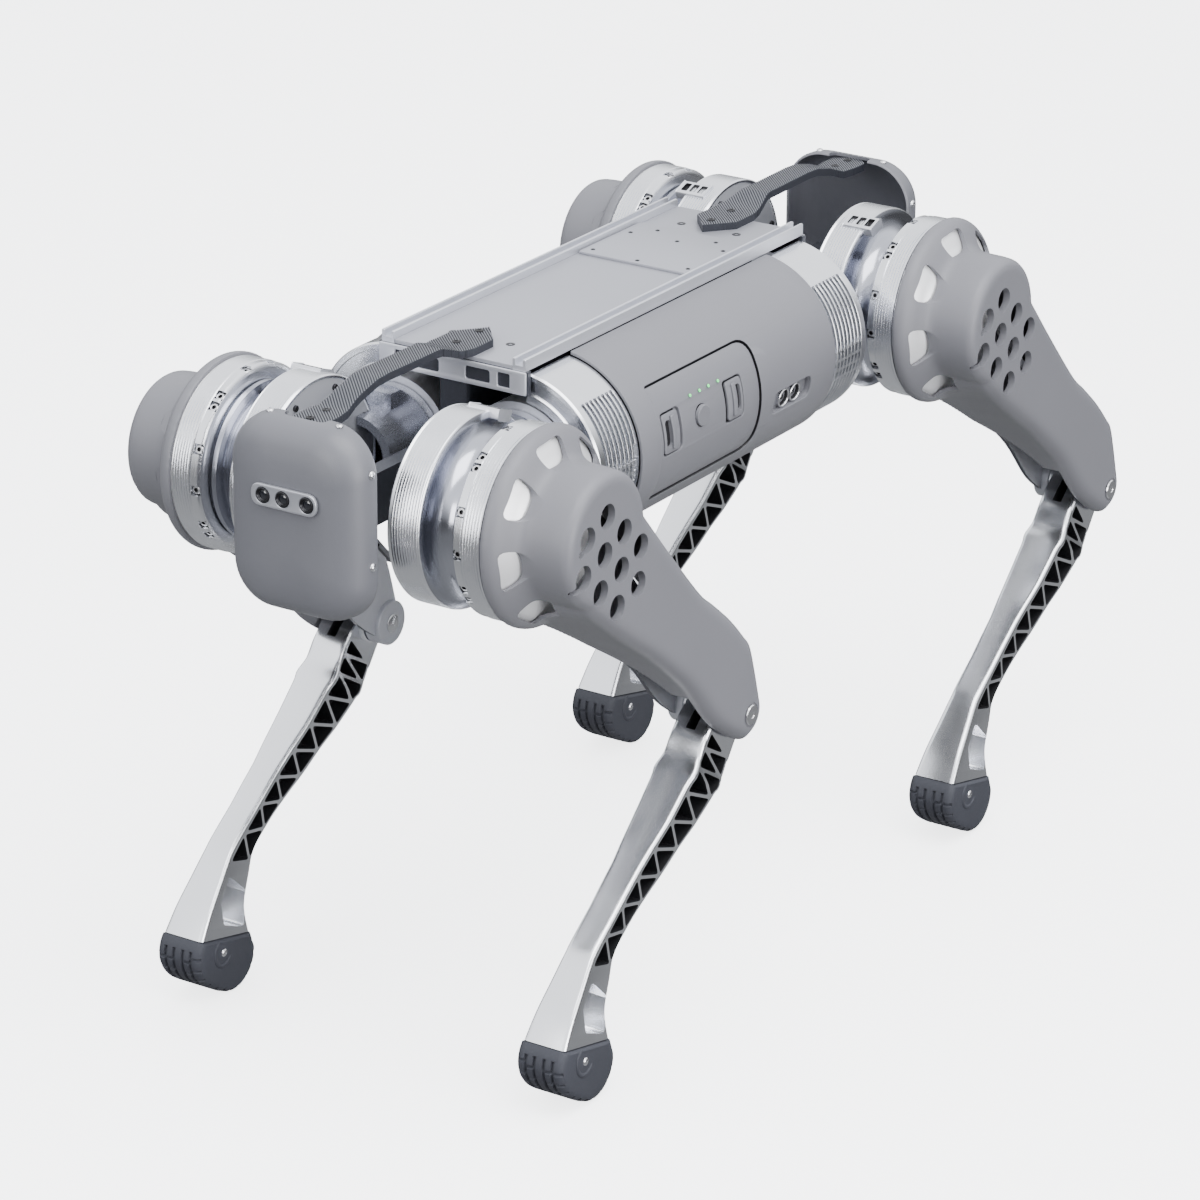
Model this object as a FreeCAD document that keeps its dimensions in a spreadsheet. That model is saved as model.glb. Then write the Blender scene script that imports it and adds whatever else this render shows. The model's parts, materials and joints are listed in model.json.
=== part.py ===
import FreeCAD, Part
import math
import os
import re
from FreeCAD import Placement, Rotation, Vector
import Sketcher

# Quadruped robot. +X is forward (the end with the cameras), +Y is the robot's left, +Z is up.
# The origin is on the floor, under the middle of the robot's bounding box.
# Trunk parts are drawn about the middle of the four hips. Leg parts are drawn as a leg that
# hangs straight down, with the hip or knee at the origin, and are then tilted into the stance.

DIMENSIONS = {
    # stance
    "hip_height": 534.3,
    "trunk_x": 56.4,
    "hip_x": 345.5,
    "thigh_length": 340,
    "shin_length": 348,
    "thigh_tilt": 44.35,
    "shin_tilt": 41.86,
    "leg_mid": 198,
    # side barrels of the trunk, which the hips swing about
    "barrel_y": 66,
    "barrel_radius": 89,
    "cover_wall": 3,
    "cover_half": 166.5,
    "housing_start": 167,
    "housing_end": 229.6,
    "housing_radius": 85.7,
    "motor_radius": 57,
    "housing_gap": 6,
    "web_half": 5,
    "cover_gap": 5.4,
    # frame casting
    "web_low": -60,
    "web_high": 64,
    "strip_start": 230.2,
    "strip_half": 79,
    "strip_low": 66.7,
    "tongue_half": 14,
    "nose_end": 448,
    "nose_half": 8,
    "nose_low": -28,
    "nose_high": 20,
    "bulkhead_start": 160,
    "bulkhead_end": 166.4,
    "bulkhead_half": 62,
    "bulkhead_low": -50,
    "beam_half": 12,
    "rib_place": 150,
    "rib_half": 10,
    "rib_low": 76,
    # deck
    "deck_half": 235,
    "deck_top": 92.5,
    "plate_thickness": 4,
    "rail_inner": 63,
    "rail_outer": 76.3,
    "rail_top": 99.6,
    "rail_slot": 8,
    "panel_rise": 2.8,
    # head shells
    "head_front": 490,
    "head_rim": 452,
    "head_half_width": 70,
    "head_top": 98,
    "head_bottom": -79,
    "head_corner": 42,
    "head_edge": 30,
    "head_wall": 3,
    "head_notch_half": 21,
    "post_length": 22,
    "post_half": 12,
    "head_rib_half": 4,
    "head_rib_top": 78,
    "camera_z": 34,
    "camera_half": 25,
    "camera_radius": 9.5,
    "camera_depth": 5,
    "lens_radius": 6,
    # handles
    "handle_start": 178,
    "handle_end": 460,
    "handle_thickness": 8,
    "handle_rise": 9,
    # battery
    "battery_rear": -34,
    "battery_front": 134,
    "battery_low": -48,
    "battery_high": 56,
    "battery_back": 10,
    "well_floor": 149,
    "well_half": 13,
    "latch_z": 13.5,
    "latch_half": 8.5,
    "latch_rise": 5.5,
    "latch_face": 153,
    "ridge_face": 155.2,
    "button_x": 65,
    "button_radius": 8,
    "button_face": 155.3,
    # port window
    "port_x": -90,
    "port_z": -13,
    "port_pitch": 20,
    "port_radius": 7.8,
    "port_wall": 1.8,
    "port_plate_start": 138,
    "port_plate_end": 142,
    "port_face": 152.5,
    "port_plate_half": 35,
    "port_window_half": 33,
    "port_window_rise": 11,
    # hip joint and thigh motor
    "flange_start": 230.4,
    "flange_end": 240,
    "flange_radius": 50,
    "hub_radius": 35,
    "hub_bore": 27,
    "hub_end": 288,
    "drum_inner": 67,
    "drum_radius": 87.5,
    "drum_step": 100,
    "drum_neck": 112,
    "drum_neck_radius": 73,
    "drum_face": 130,
    "spigot_radius": 30,
    "spigot_depth": 8,
    # knee motor and thigh
    "knee_motor_start": 130.6,
    "knee_motor_end": 163,
    "knee_motor_radius": 87,
    "cover_face": 235,
    "cover_disc": 89.7,
    "cheek_inner": 221,
    "thigh_wall": 3.5,
    "thigh_plate": 5,
    "vent_radius": 11.5,
    "knee_boss_radius": 21.5,
    "knee_boss_inner": 159,
    "knee_boss_outer": 175.3,
    "pin_radius": 7,
    "pin_head_radius": 9,
    "pin_head": 2,
    "running_gap": 0.06,
    # knee linkage
    "lever_arm": 30,
    "lever_angle": 245,
    "link_pin_radius": 5,
    "eye_radius": 9.5,
    "open_pivot_gap": 0.8,
    "shaft_radius": 8,
    "crank_hub_radius": 14,
    "crank_inner": 186,
    "rod_inner": 194,
    "rod_outer": 202,
    # shin and foot
    "knee_lobe_radius": 23,
    "ear_half": 21.5,
    "shin_half": 16.5,
    "foot_half": 25,
    "foot_radius": 32,
    "foot_core_radius": 15,
}

doc = FreeCAD.newDocument("robot_dog")
sheet = doc.addObject("Spreadsheet::Sheet", "dims")
for row, (word, value) in enumerate(DIMENSIONS.items(), start=1):
    sheet.set(f"A{row}", word)
    sheet.set(f"B{row}", str(value))
    sheet.setAlias(f"B{row}", word)
doc.recompute()
ALIAS = re.compile(r"\b(" + "|".join(sorted(DIMENSIONS, key=len, reverse=True)) + r")\b")


def bind(item, setting, formula):
    """Tie one property to a formula written with the sheet's own words."""
    item.setExpression(setting, ALIAS.sub(r"dims.\1", str(formula)))


def bind_place(item, x=0, y=0, z=0):
    for axis, formula in zip("xyz", (x, y, z)):
        bind(item, f"Placement.Base.{axis}", formula)


def box(name, x, y, z):
    """A block between two formulas along each axis."""
    solid = doc.addObject("Part::Box", name)
    for size, (low, high) in zip(("Length", "Width", "Height"), (x, y, z)):
        bind(solid, size, f"({high}) - ({low})")
    bind_place(solid, x[0], y[0], z[0])
    return solid


TURN = {
    "x": Rotation(Vector(0, 1, 0), 90),
    "y": Rotation(Vector(1, 0, 0), -90),
    "z": Rotation(),
}


def cylinder(name, axis, radius, start, end, first=0, second=0):
    """A round bar along an axis. first and second place it across the axis, in X, Y, Z order."""
    solid = doc.addObject("Part::Cylinder", name)
    solid.Placement = Placement(Vector(), TURN[axis])
    bind(solid, "Radius", radius)
    bind(solid, "Height", f"({end}) - ({start})")
    at = {"x": (start, first, second), "y": (first, start, second), "z": (first, second, start)}
    bind_place(solid, *at[axis])
    return solid


def cone_y(name, low_radius, high_radius, start, end):
    solid = doc.addObject("Part::Cone", name)
    solid.Placement = Placement(Vector(), TURN["y"])
    bind(solid, "Radius1", low_radius)
    bind(solid, "Radius2", high_radius)
    bind(solid, "Height", f"({end}) - ({start})")
    bind_place(solid, 0, start, 0)
    return solid


def fuse(name, *solids):
    joined = doc.addObject("Part::MultiFuse", name)
    joined.Shapes = list(solids)
    joined.Refine = True
    return joined


def cut(name, base, *tools):
    """base less every tool."""
    result = base
    for number, tool in enumerate(tools, start=1):
        step = doc.addObject("Part::Cut", name if number == len(tools) else f"{name}_step{number}")
        step.Base = result
        step.Tool = tool
        result = step
    return result


def common(name, *solids):
    shared = doc.addObject("Part::MultiCommon", name)
    shared.Shapes = list(solids)
    return shared


def group(name, *solids):
    several = doc.addObject("Part::Compound", name)
    several.Links = list(solids)
    return several


def outline(name, points):
    """A closed sketch in the leg's side plane. Points are (along the leg from its joint, forward)."""
    sketch = doc.addObject("Sketcher::SketchObject", name)
    corners = [Vector(forward, -along, 0) for along, forward in points]
    count = len(corners)
    for number, corner in enumerate(corners):
        sketch.addGeometry(Part.LineSegment(corner, corners[(number + 1) % count]), False)
    for number in range(count):
        joint = Sketcher.Constraint("Coincident", number, 2, (number + 1) % count, 1)
        sketch.addConstraint(joint)
    sketch.Placement = Placement(Vector(), Rotation(Vector(1, 0, 0), 90))
    return sketch


def prism(name, points, start, end):
    """An outline in the side plane, carried from one Y to another."""
    sketch = outline(f"{name}_sketch", points)
    bind_place(sketch, 0, start, 0)
    solid = doc.addObject("Part::Extrusion", name)
    solid.Base = sketch
    solid.DirMode = "Custom"
    solid.Dir = Vector(0, 1, 0)
    solid.Solid = True
    bind(solid, "LengthFwd", f"({end}) - ({start})")
    return solid


def loft(name, low_points, low, high_points, high):
    """A solid with straight sides between one outline at low Y and another at high Y."""
    sections = []
    for level, points, height in (("low", low_points, low), ("high", high_points, high)):
        sketch = outline(f"{name}_{level}", points)
        bind_place(sketch, 0, height, 0)
        sections.append(sketch)
    solid = doc.addObject("Part::Loft", name)
    solid.Sections = sections
    solid.Solid = True
    solid.Ruled = True
    return solid


def arc(centre, radius, start, end, steps):
    """Points on a round stretch of an outline, angles from along towards forward."""
    angles = [math.radians(start + (end - start) * i / steps) for i in range(steps + 1)]
    return [
        (centre[0] + radius * math.cos(a), centre[1] + radius * math.sin(a)) for a in angles
    ]


# ---------------------------------------------------------------- pieces and their places
NODES = []


def keep(solid, label):
    solid.Label = label
    NODES.append(solid)
    return solid


def trunk_piece(label, solid):
    """A trunk part, carried to the middle of the hips."""
    piece = group(f"{label}_piece", solid)
    bind_place(piece, "trunk_x", 0, "hip_height")
    return keep(piece, label)


def mirrored(name, solid, normal):
    twin = doc.addObject("Part::Mirroring", name)
    twin.Source = solid
    twin.Normal = normal
    return twin


SIDES = {"left": 1, "right": -1}
ENDS = {"front": 1, "rear": -1}


def facing(name, solid, end, side):
    """solid as drawn for the front left corner, mirrored to another corner."""
    if end == "rear":
        solid = mirrored(f"{name}_end", solid, Vector(1, 0, 0))
    if side == "right":
        solid = mirrored(f"{name}_side", solid, Vector(0, 1, 0))
    return solid


def leg_piece(label, solid, end, side, turn_x=False, at=("0", "0"), tilt=None):
    """One leg part on one leg. at is its joint's place behind and below the hip."""
    source = facing(label, solid, end if turn_x else "front", side)
    piece = group(f"{label}_piece", source)
    if tilt:
        piece.Placement = Placement(Vector(), Rotation(Vector(0, 1, 0), 1))
        bind(piece, "Placement.Rotation.Angle", tilt)
    hip = f"trunk_x + {ENDS[end]} * hip_x"
    bind_place(piece, f"{hip} - ({at[0]})", 0, f"hip_height - ({at[1]})")
    return keep(piece, label)


# ---------------------------------------------------------------- trunk: frame and motors
def span(sign, low, high):
    """A stretch between two formulas, or its mirror image for a negative sign."""
    return (low, high) if sign > 0 else (f"-({high})", f"-({low})")


def chassis_frame():
    """Middle web, end plates that carry the hip motors, bulkheads and deck ribs in one casting."""
    under_deck = "deck_top - plate_thickness"
    web = ("-web_half", "web_half")
    tall = ("web_low", "web_high")
    parts = [box("web", ("-housing_end", "housing_end"), web, tall)]
    for end, sign in ENDS.items():
        strip = span(sign, "strip_start", "deck_half")
        parts.append(box(f"{end}_strip", strip, ("-strip_half", "strip_half"),
                         ("strip_low", under_deck)))
        parts.append(box(f"{end}_tongue", strip, ("-tongue_half", "tongue_half"),
                         ("web_low", "strip_low")))
        parts.append(box(f"{end}_joint", span(sign, "housing_end", "strip_start"), web, tall))
        parts.append(box(f"{end}_nose", span(sign, "deck_half", "nose_end"),
                         ("-nose_half", "nose_half"), ("nose_low", "nose_high")))
        parts.append(box(f"{end}_bulkhead", span(sign, "bulkhead_start", "bulkhead_end"),
                         ("-bulkhead_half", "bulkhead_half"), ("bulkhead_low", under_deck)))
        along = span(sign, "rib_place - rib_half", "rib_place + rib_half")
        for side, out in SIDES.items():
            across = span(out, "beam_half", "bulkhead_half")
            parts.append(box(f"{end}_{side}_rib", along, across, ("rib_low", under_deck)))
    parts.append(box("deck_beam", ("-bulkhead_start", "bulkhead_start"),
                     ("-beam_half", "beam_half"), ("web_high", under_deck)))
    return fuse("frame_casting", *parts)


def below_rail(name, sign):
    """The space of the rail and deck, which barrel parts leave free."""
    edge = f"{sign} * (rail_outer + 0.3)"
    inner = f"{-sign} * 4"
    low, high = (inner, edge) if sign > 0 else (edge, inner)
    return box(name, ("-300", "300"), (low, high), ("deck_top - plate_thickness - 22", "140"))


def barrel_half(name, sign, start, end, radius, gap):
    """A length of one side barrel, flat where it faces the middle web."""
    bar = cylinder(f"{name}_bar", "x", radius, start, end, f"{sign} * barrel_y", 0)
    low, high = (gap, "200") if sign > 0 else ("-200", f"-({gap})")
    room = box(f"{name}_room", (start, end), (low, high), ("-120", "120"))
    return common(f"{name}_half", bar, room)


def hip_motor_housing(end, side):
    """Finned housing of one hip motor, hollow for the motor."""
    name = f"housing_{end}_{side}"
    low, high = ("housing_start", "housing_end")
    if end == "rear":
        low, high = ("-housing_end", "-housing_start")
    sign = SIDES[side]
    block = barrel_half(name, sign, low, high, "housing_radius", "housing_gap")
    inside = f"{sign} * barrel_y"
    bore = cylinder(f"{name}_bore", "x", "motor_radius", f"{low} - 1", f"{high} + 1", inside, 0)
    return cut(f"{name}_shell", block, bore, below_rail(f"{name}_rail", sign))


def hip_motors():
    """The four motors inside the housings."""
    motors = []
    for end in ENDS:
        low, high = ("housing_start", "housing_end")
        if end == "rear":
            low, high = ("-housing_end", "-housing_start")
        for side, sign in SIDES.items():
            name = f"hip_motor_{end}_{side}"
            centre = f"{sign} * barrel_y"
            motors.append(cylinder(name, "x", "motor_radius", low, high, centre, 0))
    return group("hip_motor_set", *motors)


def side_cover(side):
    """Half-round plastic cover over the middle of one side barrel."""
    sign = SIDES[side]
    name = f"cover_{side}"
    ends = ("-cover_half", "cover_half")
    whole = barrel_half(name, sign, *ends, "barrel_radius", "cover_gap")
    inner = "barrel_radius - cover_wall"
    inside = cylinder(f"{name}_inside", "x", inner, "-200", "200", f"{sign} * barrel_y", 0)
    low, high = ("-1", "62") if sign > 0 else ("-62", "1")
    middle = box(f"{name}_middle", ("-200", "200"), (low, high), ("0", "120"))
    tools = [inside, middle, below_rail(f"{name}_rail", sign)]
    if side == "left":
        opening = ("battery_rear - 0.5", "battery_front + 0.5")
        heights = ("battery_low - 0.5", "battery_high + 0.5")
        tools.append(box("battery_opening", opening, ("100", "200"), heights))
        tools.append(box("port_window", ("port_x - port_window_half", "port_x + port_window_half"),
                         ("100", "200"), ("port_z - port_window_rise", "port_z + port_window_rise")))
    return cut(f"{name}_shell", whole, *tools)


LATCH_PLACES = {"front": 115, "rear": 8}


def battery_pack():
    """Slide-in battery with a round front that continues the side cover."""
    length = ("battery_rear", "battery_front")
    block = box("battery_block", length, ("battery_back", "200"), ("battery_low", "battery_high"))
    round_bar = cylinder("battery_round", "x", "barrel_radius", *length, "barrel_y", 0)
    inner = box("battery_inner", length, ("0", "barrel_y"), ("-60", "60"))
    body = common("battery_body", block, fuse("battery_limit", round_bar, inner))
    tools = [cylinder("button_well", "y", "button_radius + 0.6", "well_floor + 1", 170,
                      "button_x", "latch_z")]
    for name, place in LATCH_PLACES.items():
        well = (f"{place} - well_half", f"{place} + well_half")
        tools.append(box(f"{name}_latch_well", well, ("well_floor", "170"),
                         ("latch_z - latch_rise - 0.5", "latch_z + latch_rise + 0.5")))
    return cut("battery_case", body, *tools)


def battery_latch(end):
    """Finger slide in its well on the battery's face."""
    place = LATCH_PLACES[end]
    plate = box(f"latch_{end}_plate", (f"{place} - latch_half", f"{place} + latch_half"),
                ("well_floor + 0.3", "latch_face"), ("latch_z - latch_rise", "latch_z + latch_rise"))
    ridge = box(f"latch_{end}_ridge", (place - 1.5, place + 1.5), ("latch_face", "ridge_face"),
                ("latch_z - latch_rise + 0.5", "latch_z + latch_rise - 0.5"))
    return fuse(f"latch_{end}_slide", plate, ridge)


def main_computer():
    """Sealed computer in the right-hand barrel, opposite the battery."""
    case = box("computer_case", ("-120", "120"), ("-132", "-10"), ("-44", "44"))
    lid = box("computer_lid", ("-112", "112"), ("-124", "-18"), ("44", "52"))
    return fuse("computer_block", case, lid)


def port_connectors():
    """Two sealed round sockets on a plate, in the window of the left cover."""
    solids = [box("port_plate", ("port_x - port_plate_half", "port_x + port_plate_half"),
                  ("port_plate_start", "port_plate_end"), ("port_z - 15", "port_z + 15"))]
    wells = []
    for name, sign in ENDS.items():
        at = (f"port_x + {sign} * port_pitch / 2", "port_z")
        solids.append(cylinder(f"port_{name}", "y", "port_radius", "port_plate_end", "port_face", *at))
        wells.append(cylinder(f"port_well_{name}", "y", "port_radius - port_wall",
                              "port_plate_end", "port_face + 8", *at))
    return cut("port_set", fuse("port_solid", *solids), *wells)


# ---------------------------------------------------------------- trunk: deck
def top_plate():
    """Aluminium deck plate: a padded rectangle with four mounting holes."""
    body = doc.addObject("PartDesign::Body", "top_plate_body")
    plane = next(f for f in body.Origin.OriginFeatures if f.Role == "XY_Plane")
    sketch = body.newObject("Sketcher::SketchObject", "top_plate_sketch")
    sketch.AttachmentSupport = [(plane, "")]
    sketch.MapMode = "FlatFace"
    add_rectangle(sketch, "deck_half", "rail_inner - 0.2")
    pad = body.newObject("PartDesign::Pad", "top_plate_pad")
    pad.Profile = sketch
    bind(pad, "Length", "plate_thickness")
    doc.recompute()
    holes = body.newObject("Sketcher::SketchObject", "top_plate_holes")
    holes.AttachmentSupport = [(plane, "")]
    holes.MapMode = "FlatFace"
    for x in (20, 160):
        for y in (-50, 50):
            holes.addGeometry(Part.Circle(Vector(x, y, 0), Vector(0, 0, 1), 2.75), False)
    pocket = body.newObject("PartDesign::Pocket", "top_plate_drilling")
    pocket.Profile = holes
    pocket.Type = "ThroughAll"
    pocket.Reversed = True
    bind(body, "Placement.Base.z", "deck_top - plate_thickness")
    return body


def add_rectangle(sketch, half_x, half_y):
    """A rectangle about the sketch's origin, held by its two half sizes."""
    corners = [Vector(x, y, 0) for x, y in ((-9, -5), (9, -5), (9, 5), (-9, 5))]
    for number in range(4):
        sketch.addGeometry(Part.LineSegment(corners[number], corners[(number + 1) % 4]), False)
    for number in range(4):
        joint = Sketcher.Constraint("Coincident", number, 2, (number + 1) % 4, 1)
        sketch.addConstraint(joint)
    for number, kind in enumerate(("Horizontal", "Vertical", "Horizontal", "Vertical")):
        sketch.addConstraint(Sketcher.Constraint(kind, number))
    sketch.addConstraint(Sketcher.Constraint("Symmetric", 0, 1, 1, 2, -1, 1))
    across = sketch.addConstraint(Sketcher.Constraint("DistanceX", 0, 1, 0, 2, 18.0))
    up = sketch.addConstraint(Sketcher.Constraint("DistanceY", 1, 1, 1, 2, 10.0))
    bind(sketch, f"Constraints[{across}]", f"2 * ({half_x})")
    bind(sketch, f"Constraints[{up}]", f"2 * ({half_y})")


def rear_deck_panel():
    """Raised service panel on the deck, behind the middle."""
    return box("panel_plate", ("-166", "-59"), ("-61", "61"), ("deck_top", "deck_top + panel_rise"))


def rail(side):
    """Accessory rail: a bar with an undercut slot along its top."""
    sign = SIDES[side]
    middle = f"{sign} * (rail_inner + rail_outer) / 2"
    low, high = ("rail_inner", "rail_outer") if sign > 0 else ("-rail_outer", "-rail_inner")
    floor = "deck_top - plate_thickness"
    length = ("-deck_half", "deck_half")
    bar = box(f"rail_{side}_bar", length, (low, high), (floor, "rail_top"))
    mouth = (f"{middle} - rail_slot / 2", f"{middle} + rail_slot / 2")
    slot = box(f"rail_{side}_slot", ("-300", "300"), mouth, ("rail_top - 7", "rail_top + 1"))
    wide = (f"{middle} - rail_slot / 2 - 1", f"{middle} + rail_slot / 2 + 1")
    room = box(f"rail_{side}_room", ("-300", "300"), wide, ("rail_top - 7", "rail_top - 2"))
    return cut(f"rail_{side}_channel", bar, slot, room)


# ---------------------------------------------------------------- head shells and handles
def head_shell(end):
    """Open-backed shell with large round corners, hollowed for the sensors behind it."""
    def block(name, shrink, front, back):
        body = doc.addObject("Part::Feature", name)
        half = DIMENSIONS["head_half_width"] - shrink
        low, high = DIMENSIONS["head_bottom"] + shrink, DIMENSIONS["head_top"] - shrink
        solid = Part.makeBox(front - back, 2 * half, high - low, Vector(back, -half, low))
        along = [e for e in solid.Edges if abs(e.tangentAt(e.FirstParameter).x) > 0.9]
        solid = solid.makeFillet(DIMENSIONS["head_corner"] - shrink, along)
        front_edges = [e for e in solid.Edges if abs(e.CenterOfMass.x - front) < 1e-6]
        edge = DIMENSIONS["head_edge"] - shrink
        body.Shape = solid.makeFillet(edge, front_edges)
        return body

    front, rim = DIMENSIONS["head_front"], DIMENSIONS["head_rim"]
    outer = block(f"head_{end}_outer", 0, front, rim)
    inner = block(f"head_{end}_inner", DIMENSIONS["head_wall"], front - 3, rim - 10)
    notch = box(f"head_{end}_notch", ("head_rim - 2", "handle_end + 0.5"),
                ("-head_notch_half", "head_notch_half"), ("deck_top - 6", "120"))
    shell = cut(f"head_{end}_shell", outer, inner, notch)
    post = box(f"head_{end}_post", ("nose_end - post_length", "nose_end"),
               ("-post_half", "post_half"), ("nose_high", "deck_top - 6"))
    rib = box(f"head_{end}_rib", ("nose_end", "head_front - 2"),
              ("-head_rib_half", "head_rib_half"), ("nose_low", "head_rib_top"))
    solid = fuse(f"head_{end}_body", shell, post, rib)
    return solid if end == "front" else mirrored("head_rear_turned", solid, Vector(1, 0, 0))


def handle(end):
    """Carrying bar from the deck to the head, arched in the middle for fingers."""
    low, thick, rise = "deck_top", DIMENSIONS["handle_thickness"], DIMENSIONS["handle_rise"]
    start, stop = DIMENSIONS["handle_start"], DIMENSIONS["handle_end"]
    floor = DIMENSIONS["deck_top"]
    arch = ((start, 0), (start + 58, 0), (start + 92, rise), (stop - 92, rise),
            (stop - 46, -6), (stop, -6))
    side_view = [(-(floor + lift), x) for x, lift in arch]
    side_view += [(-(floor + lift + thick), x) for x, lift in reversed(arch)]
    bar = prism(f"handle_{end}_bar", side_view, "-24", "24")
    plan = []
    for x, half in ((start, 0), (start + 26, 22), (start + 60, 22), (start + 100, 13.5),
                    (stop - 60, 13.5), (stop - 30, 18), (stop - 10, 18), (stop, 6)):
        plan.append(Vector(x, half, 0))
    plan += [Vector(point.x, -point.y, 0) for point in reversed(plan) if point.y > 0]
    sketch = doc.addObject("Sketcher::SketchObject", f"handle_{end}_plan")
    for number, point in enumerate(plan):
        sketch.addGeometry(Part.LineSegment(point, plan[(number + 1) % len(plan)]), False)
    bind_place(sketch, 0, 0, f"{low} - 20")
    tall = doc.addObject("Part::Extrusion", f"handle_{end}_tall")
    tall.Base = sketch
    tall.DirMode = "Custom"
    tall.Dir = Vector(0, 0, 1)
    tall.Solid = True
    bind(tall, "LengthFwd", "60")
    solid = common(f"handle_{end}_shape", bar, tall)
    return solid if end == "front" else mirrored("handle_rear_turned", solid, Vector(1, 0, 0))


LENS_Y = (-21, 0, 25)


def camera_bar():
    """Pill-shaped sensor bar on the front shell."""
    depth = ("head_front", "head_front + camera_depth")
    pill = [cylinder(f"camera_end_{n}", "x", "camera_radius", *depth, y, "camera_z")
            for n, y in enumerate(("-camera_half", "camera_half"))]
    middle = box("camera_middle", depth, ("-camera_half", "camera_half"),
                 ("camera_z - camera_radius", "camera_z + camera_radius"))
    body = fuse("camera_pill", middle, *pill)
    wells = [cylinder(f"lens_well_{n}", "x", "lens_radius", "head_front + 2",
                      "head_front + camera_depth + 1", y, "camera_z")
             for n, y in enumerate(LENS_Y)]
    return cut("camera_case", body, *wells)


def camera_lenses():
    lenses = [cylinder(f"lens_{n}", "x", "lens_radius", "head_front + 2", "head_front + 4.4",
                       y, "camera_z")
              for n, y in enumerate(LENS_Y)]
    return group("lens_set", *lenses)


# ---------------------------------------------------------------- legs, drawn for the left side
def hip_link():
    """Flange on the hip motor and the hollow hub that carries the thigh motor."""
    axis = ("barrel_y", 0)
    flange = cylinder("flange", "x", "flange_radius", "flange_start - hip_x",
                      "flange_end - hip_x", *axis)
    hub = cylinder("hub", "x", "hub_radius", "flange_end - hip_x", "hub_end - hip_x", *axis)
    lug = box("hub_lug", ("flange_end - hip_x", "flange_end + 14 - hip_x"),
              ("barrel_y - 12", "barrel_y + 12"), ("28", "48"))
    saddle = box("hub_saddle", ("flange_end - hip_x", "-50"), ("barrel_y + 6", "96"), ("-34", "34"))
    body = fuse("hub_body", flange, hub, lug, saddle)
    bore = cylinder("hub_bore", "x", "hub_bore", "flange_end + 6 - hip_x", "0", *axis)
    drum = cylinder("hub_drum_room", "y", "drum_radius", "drum_inner", 150)
    return cut("hip_link_body", body, bore, drum)


def hip_drum():
    """Thigh motor: wide ribbed drum, dished neck and output ring."""
    wide = cylinder("drum_wide", "y", "drum_radius", "drum_inner", "drum_step")
    dish = cone_y("drum_dish", "drum_radius", "drum_neck_radius", "drum_step", "drum_neck")
    neck = cylinder("drum_neck", "y", "drum_neck_radius", "drum_neck", "drum_face")
    spigot = cylinder("drum_spigot", "y", "spigot_radius", "drum_face",
                      "drum_face + spigot_depth")
    return fuse("drum_body", wide, dish, neck, spigot)


def knee_motor():
    """Second drum, which turns with the thigh and drives the knee linkage."""
    drum = cylinder("knee_drum", "y", "knee_motor_radius", "knee_motor_start", "knee_motor_end")
    well = cylinder("knee_drum_well", "y", "spigot_radius + running_gap",
                    "knee_motor_start - 1", "drum_face + spigot_depth + 0.6")
    return cut("knee_motor_body", drum, well)


def thigh_outline(inset, rim):
    """Side view of the thigh. rim is how far the front and back edges stand out by the hip."""
    front = [(20, rim[0]), (60, rim[1]), (110, rim[2]), (160, rim[3]), (230, 31), (298, 33)]
    back = [(300, -49), (282, -51.5), (250, -51), (215, -46), (181, -40), (105, rim[4]),
            (45, rim[5]), (20, rim[6])]
    lobe = arc((338, 0), 26 - inset, 62, -68, 5)
    points = [(along, forward - inset) for along, forward in front] + lobe
    return points + [(along, forward + inset) for along, forward in back]


WIDE_RIM = (84, 66, 50, 39, -50, -72, -85)
NARROW_RIM = (46, 46, 44, 37, -42, -40, -40)
PLATE_INSET = 7.2


def thigh_cover():
    """Shell over the knee motor and linkage, with a solid outer cheek at the knee."""
    rim = "knee_motor_end"
    disc = fuse("cover_disc_solid",
                cylinder("cover_band", "y", "cover_disc", rim, f"{rim} + 7"),
                cone_y("cover_cone", "cover_disc", "46", f"{rim} + 7", "cover_face"))
    arm = loft("cover_arm", thigh_outline(0, WIDE_RIM), rim,
               thigh_outline(0, NARROW_RIM), "cover_face")
    outer = fuse("cover_outer", disc, arm)
    face = "cover_face - thigh_wall"
    hollow_disc = fuse("cover_disc_hollow",
                       cylinder("hollow_band", "y", "cover_disc - thigh_wall", f"{rim} - 1",
                                f"{rim} + 5"),
                       cone_y("hollow_cone", "cover_disc - thigh_wall", "43", f"{rim} + 5", face))
    low = f"{rim} - 1"
    arm_hollow = loft("cover_arm_hollow", thigh_outline(3.5, WIDE_RIM), low,
                      thigh_outline(3.5, NARROW_RIM), face)
    keep_thin = box("thin_region", ("-120", "120"), ("100", "240"), ("-272", "120"))
    hollow_arm = common("cover_arm_room", arm_hollow, keep_thin)
    fork = box("fork_room", ("-46", "80"), (low, "cheek_inner"), ("-400", "-250"))
    fork_end = box("fork_end", ("-70", "80"), (low, "cheek_inner"), ("-400", "-306"))
    ramp = prism_across("front_ramp", ((130, 162), (300, 162), (300, 221)), "8", "80")
    bore = cylinder("cover_pin_bore", "y", "pin_radius", "200", "240", 0, "-thigh_length")
    vents = [cylinder(f"vent_{n}", "y", "vent_radius", 225, 240, forward, -along)
             for n, (along, forward) in enumerate(VENTS)]
    return cut("cover_shell", outer, hollow_disc, hollow_arm, fork, fork_end, ramp, bore, *vents)


# three staggered rows of round vents over the hip, and the row spacing along the thigh
VENTS = [(-18 + 34 * n, -15 - 3.5 * n) for n in range(3)]
VENTS += [(-31 + 34 * n, 15 - 3.7 * n) for n in range(4)]
VENTS += [(-12 + 34 * n, 42 - 3.5 * n) for n in range(3)]


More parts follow.
